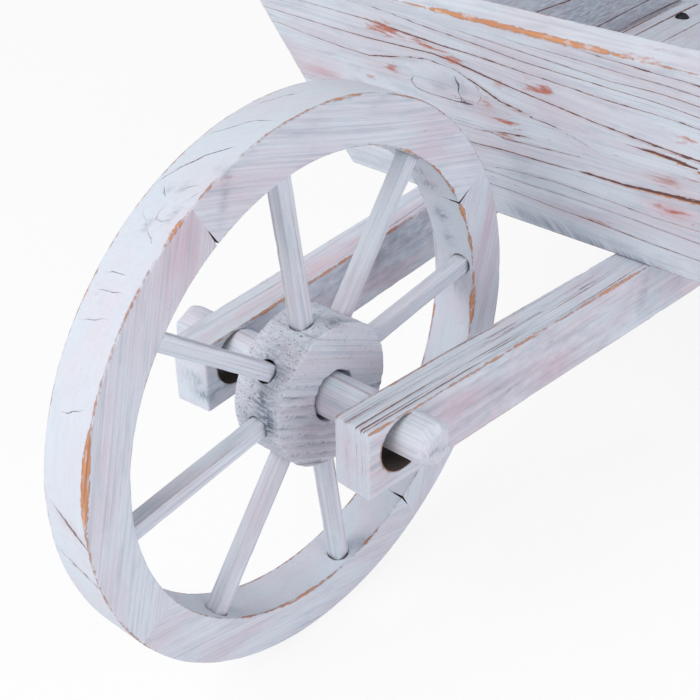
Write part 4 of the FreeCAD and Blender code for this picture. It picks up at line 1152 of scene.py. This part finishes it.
# Knife cuts round each end: where each lies in degrees and how deep it goes, and the slope of them all
KNIFE_CUTS = ((10, 3.4), (62, 2.2), (118, 3.0), (176, 2.4), (228, 3.6), (290, 2.6), (335, 2.0))
KNIFE_SLOPE = math.radians(40)
# Grey strokes on the near end, by pixel
AXLE_SMUDGES = (((434, 452), (4, 4, 1.2), 0.7), ((444, 448), (4, 5, 1.0), 0.5))


def axle():
    """The whittled axle, its ends rounded over."""
    low, high = (np.array(corner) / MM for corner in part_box("axle"))
    radius, near_end, far_end = (high[0] - low[0]) / 2, low[1], high[1]
    corner = edge_profile(radius, near_end, AXLE_BEVEL, (0, 22.5, 45, 67.5, 90))
    end = np.arange(0, radius - AXLE_BEVEL, AXLE_END_STEP)
    half = np.concatenate([np.stack([end, near_end + 0 * end], -1), corner])
    mirrored = half[::-1] * (1, -1) + (0, near_end + far_end)
    tip = np.arange(2 * AXLE_BEVEL, WHITTLED_LENGTH, AXLE_TIP_STEP)
    shaft = np.arange(near_end + WHITTLED_LENGTH, far_end - WHITTLED_LENGTH, AXLE_SHAFT_STEP)
    side = side_profile(radius, np.concatenate([near_end + tip, shaft, far_end - tip[::-1]]))
    points, quads = turned(np.concatenate([half, side, mirrored]), AXLE_AROUND)
    reach = np.maximum(np.hypot(points[:, 0], points[:, 2]), 0.01)
    shave = AXLE_SHAVING * (wander(points, SHAVING_SIZE) - 1) * (reach / radius) ** 3
    points += points * (1, 0, 1) / reach[:, None] * shave[:, None]
    for place, outward in ((near_end, -1), (far_end, 1)):
        for turn, depth in KNIFE_CUTS:
            spoke = np.array([math.cos(math.radians(turn)), 0, math.sin(math.radians(turn))])
            way = math.cos(KNIFE_SLOPE) * spoke + math.sin(KNIFE_SLOPE) * outward * ACROSS
            proud = points @ way - (radius * spoke + place * ACROSS) @ way + depth
            points -= np.clip(proud, 0, None)[:, None] * way
    centre = AXLE * (1, 0, 1)

    def gaps(world):
        own = world - centre
        reach = np.hypot(own[:, 0], own[:, 2])
        return np.stack([radius - reach, own[:, 1] - near_end, far_end - own[:, 1]], -1)

    middle = centre + ACROSS * (near_end + far_end) / 2
    shape = Shape(points + centre, quads, directions(ACROSS, UP), middle, gaps)
    add_piece("axle", shape, bar_wood, "wheel", seed=8400.0, sway=1, smudge=AXLE_SMUDGES)


def wheel():
    """Rim and spokes, then the hub and the axle they turn with."""
    for step, node in enumerate(sorted(SPOKES)):
        _, way = spoke_line(node)
        seed = 2000 + CHIP_SEED * step
        shape = bar(node, way, ACROSS, steps=(3, 1.5, 1.5), radius=1.0, seed=seed, sway=0.5)
        add_piece(node, shape, bar_wood, "wheel", seed=4400.0 + WOOD_SEED * step, tilt=40, sway=1)
    for step, node in enumerate(sorted(FELLOES)):
        shape = arc(node, 2500 + CHIP_SEED * step)
        middle = shape.centre - AXLE
        reach = np.linalg.norm(middle)
        holes = []
        for spoke in SPOKES:
            start, way = spoke_line(spoke)
            if way @ middle / reach > math.cos(math.pi / 4):
                mouth = start + (shape.inner - DRILL_OVERRUN) * way
                holes.append((mouth, way, SPOKE_HOLE_RADIUS, DRILL_OVERRUN + RIM_HOLE_DEPTH))
        wood = {"seed": 6200.0 + WOOD_SEED * step, "sway": 2, "quiet": 0.8, **RIM[node]}
        piece = add_piece(node, shape, rim_wood, "wheel", holes, **wood)
        leave_bare(piece, shape.at_end(mesh_points(piece)[0]))
    hub()
    axle()


# Stage

FLOOR_SIDE = 40000
# How much of what the eye sees of the floor is plain white, so that the shadow on it is soft
FLOOR_GLOW = 0.86


def seen_directly(tree):
    """1 for what the eye sees, straight or in a reflection, and 0 for light that falls on the pieces."""
    ray = add(tree, "LightPath").outputs
    seen_rays = add(tree, "Math", {0: ray["Is Camera Ray"], 1: ray["Is Glossy Ray"]}, operation="ADD")
    links = {0: seen_rays, 1: ray["Is Transmission Ray"]}
    return add(tree, "Math", links, operation="ADD", use_clamp=True)


def add_floor():
    """A plain pale floor that shows the object's shadow softly."""
    half = FLOOR_SIDE / 2 * MM
    mesh = bpy.data.meshes.new("floor")
    corners = [(-half, -half, 0), (half, -half, 0), (half, half, 0), (-half, half, 0)]
    mesh.from_pydata(corners, [], [(0, 1, 2, 3)])
    floor = bpy.data.objects.new("floor", mesh)
    bpy.context.scene.collection.objects.link(floor)
    material, tree = empty_material("pale_paper")
    matt = add(tree, "BsdfDiffuse", {"Color": colour("#FBFBFC")})
    glow = add(tree, "Emission", {"Color": colour("#FFFFFF"), "Strength": 1.0})
    share = add(tree, "Math", {0: seen_directly(tree), 1: FLOOR_GLOW}, operation="MULTIPLY")
    add(tree, "OutputMaterial", {"Surface": add(tree, "MixShader", {0: share, 1: matt, 2: glow})})
    mesh.materials.append(material)


def add_world():
    """Even pale surroundings, white to the camera."""
    world = bpy.data.worlds.new("studio")
    bpy.context.scene.world = world
    world.use_nodes = True
    tree = world.node_tree
    tree.nodes.clear()
    soft = add(tree, "Background", {"Color": colour("#F2F3F6"), "Strength": 0.5})
    white = add(tree, "Background", {"Color": colour("#FFFFFF"), "Strength": 1.0})
    shown = add(tree, "MixShader", {0: seen_directly(tree), 1: soft, 2: white})
    add(tree, "OutputWorld", {"Surface": shown})


def add_lamp(name, place, aim, side, power, tint):
    """A square soft lamp that looks at a point."""
    lamp = bpy.data.lights.new(name, "AREA")
    lamp.shape, lamp.size, lamp.energy, lamp.color = "SQUARE", side * MM, power, colour(tint)[:3]
    item = bpy.data.objects.new(name, lamp)
    item.location = Vector(place) * MM
    item.rotation_mode = "QUATERNION"
    item.rotation_quaternion = (Vector(aim) - Vector(place)).to_track_quat("-Z", "Y")
    bpy.context.scene.collection.objects.link(item)


def light():
    """A large key lamp from the front left above, and a weaker one from the right."""
    middle = (-150, 0, 130)
    add_lamp("key", (-1900, 500, 1700), middle, side=1500, power=32.5, tint="#FFFFFF")
    add_lamp("fill", (-300, -2200, 900), middle, side=1500, power=16, tint="#F6F2FA")


tray_boards()
rails()
stand()
wheel()
add_floor()
add_world()
light()
bpy.context.scene.view_settings.view_transform = "Standard"
fixings = {"tray_brads": brad_steel, "felloe_dowels": dowel_wood}
fixings.update(dict.fromkeys(("floor_screws", "leg_screws", "frame_screws"), screw_steel))
for node, material in fixings.items():
    nodes[node].data.materials.clear()
    nodes[node].data.materials.append(material)
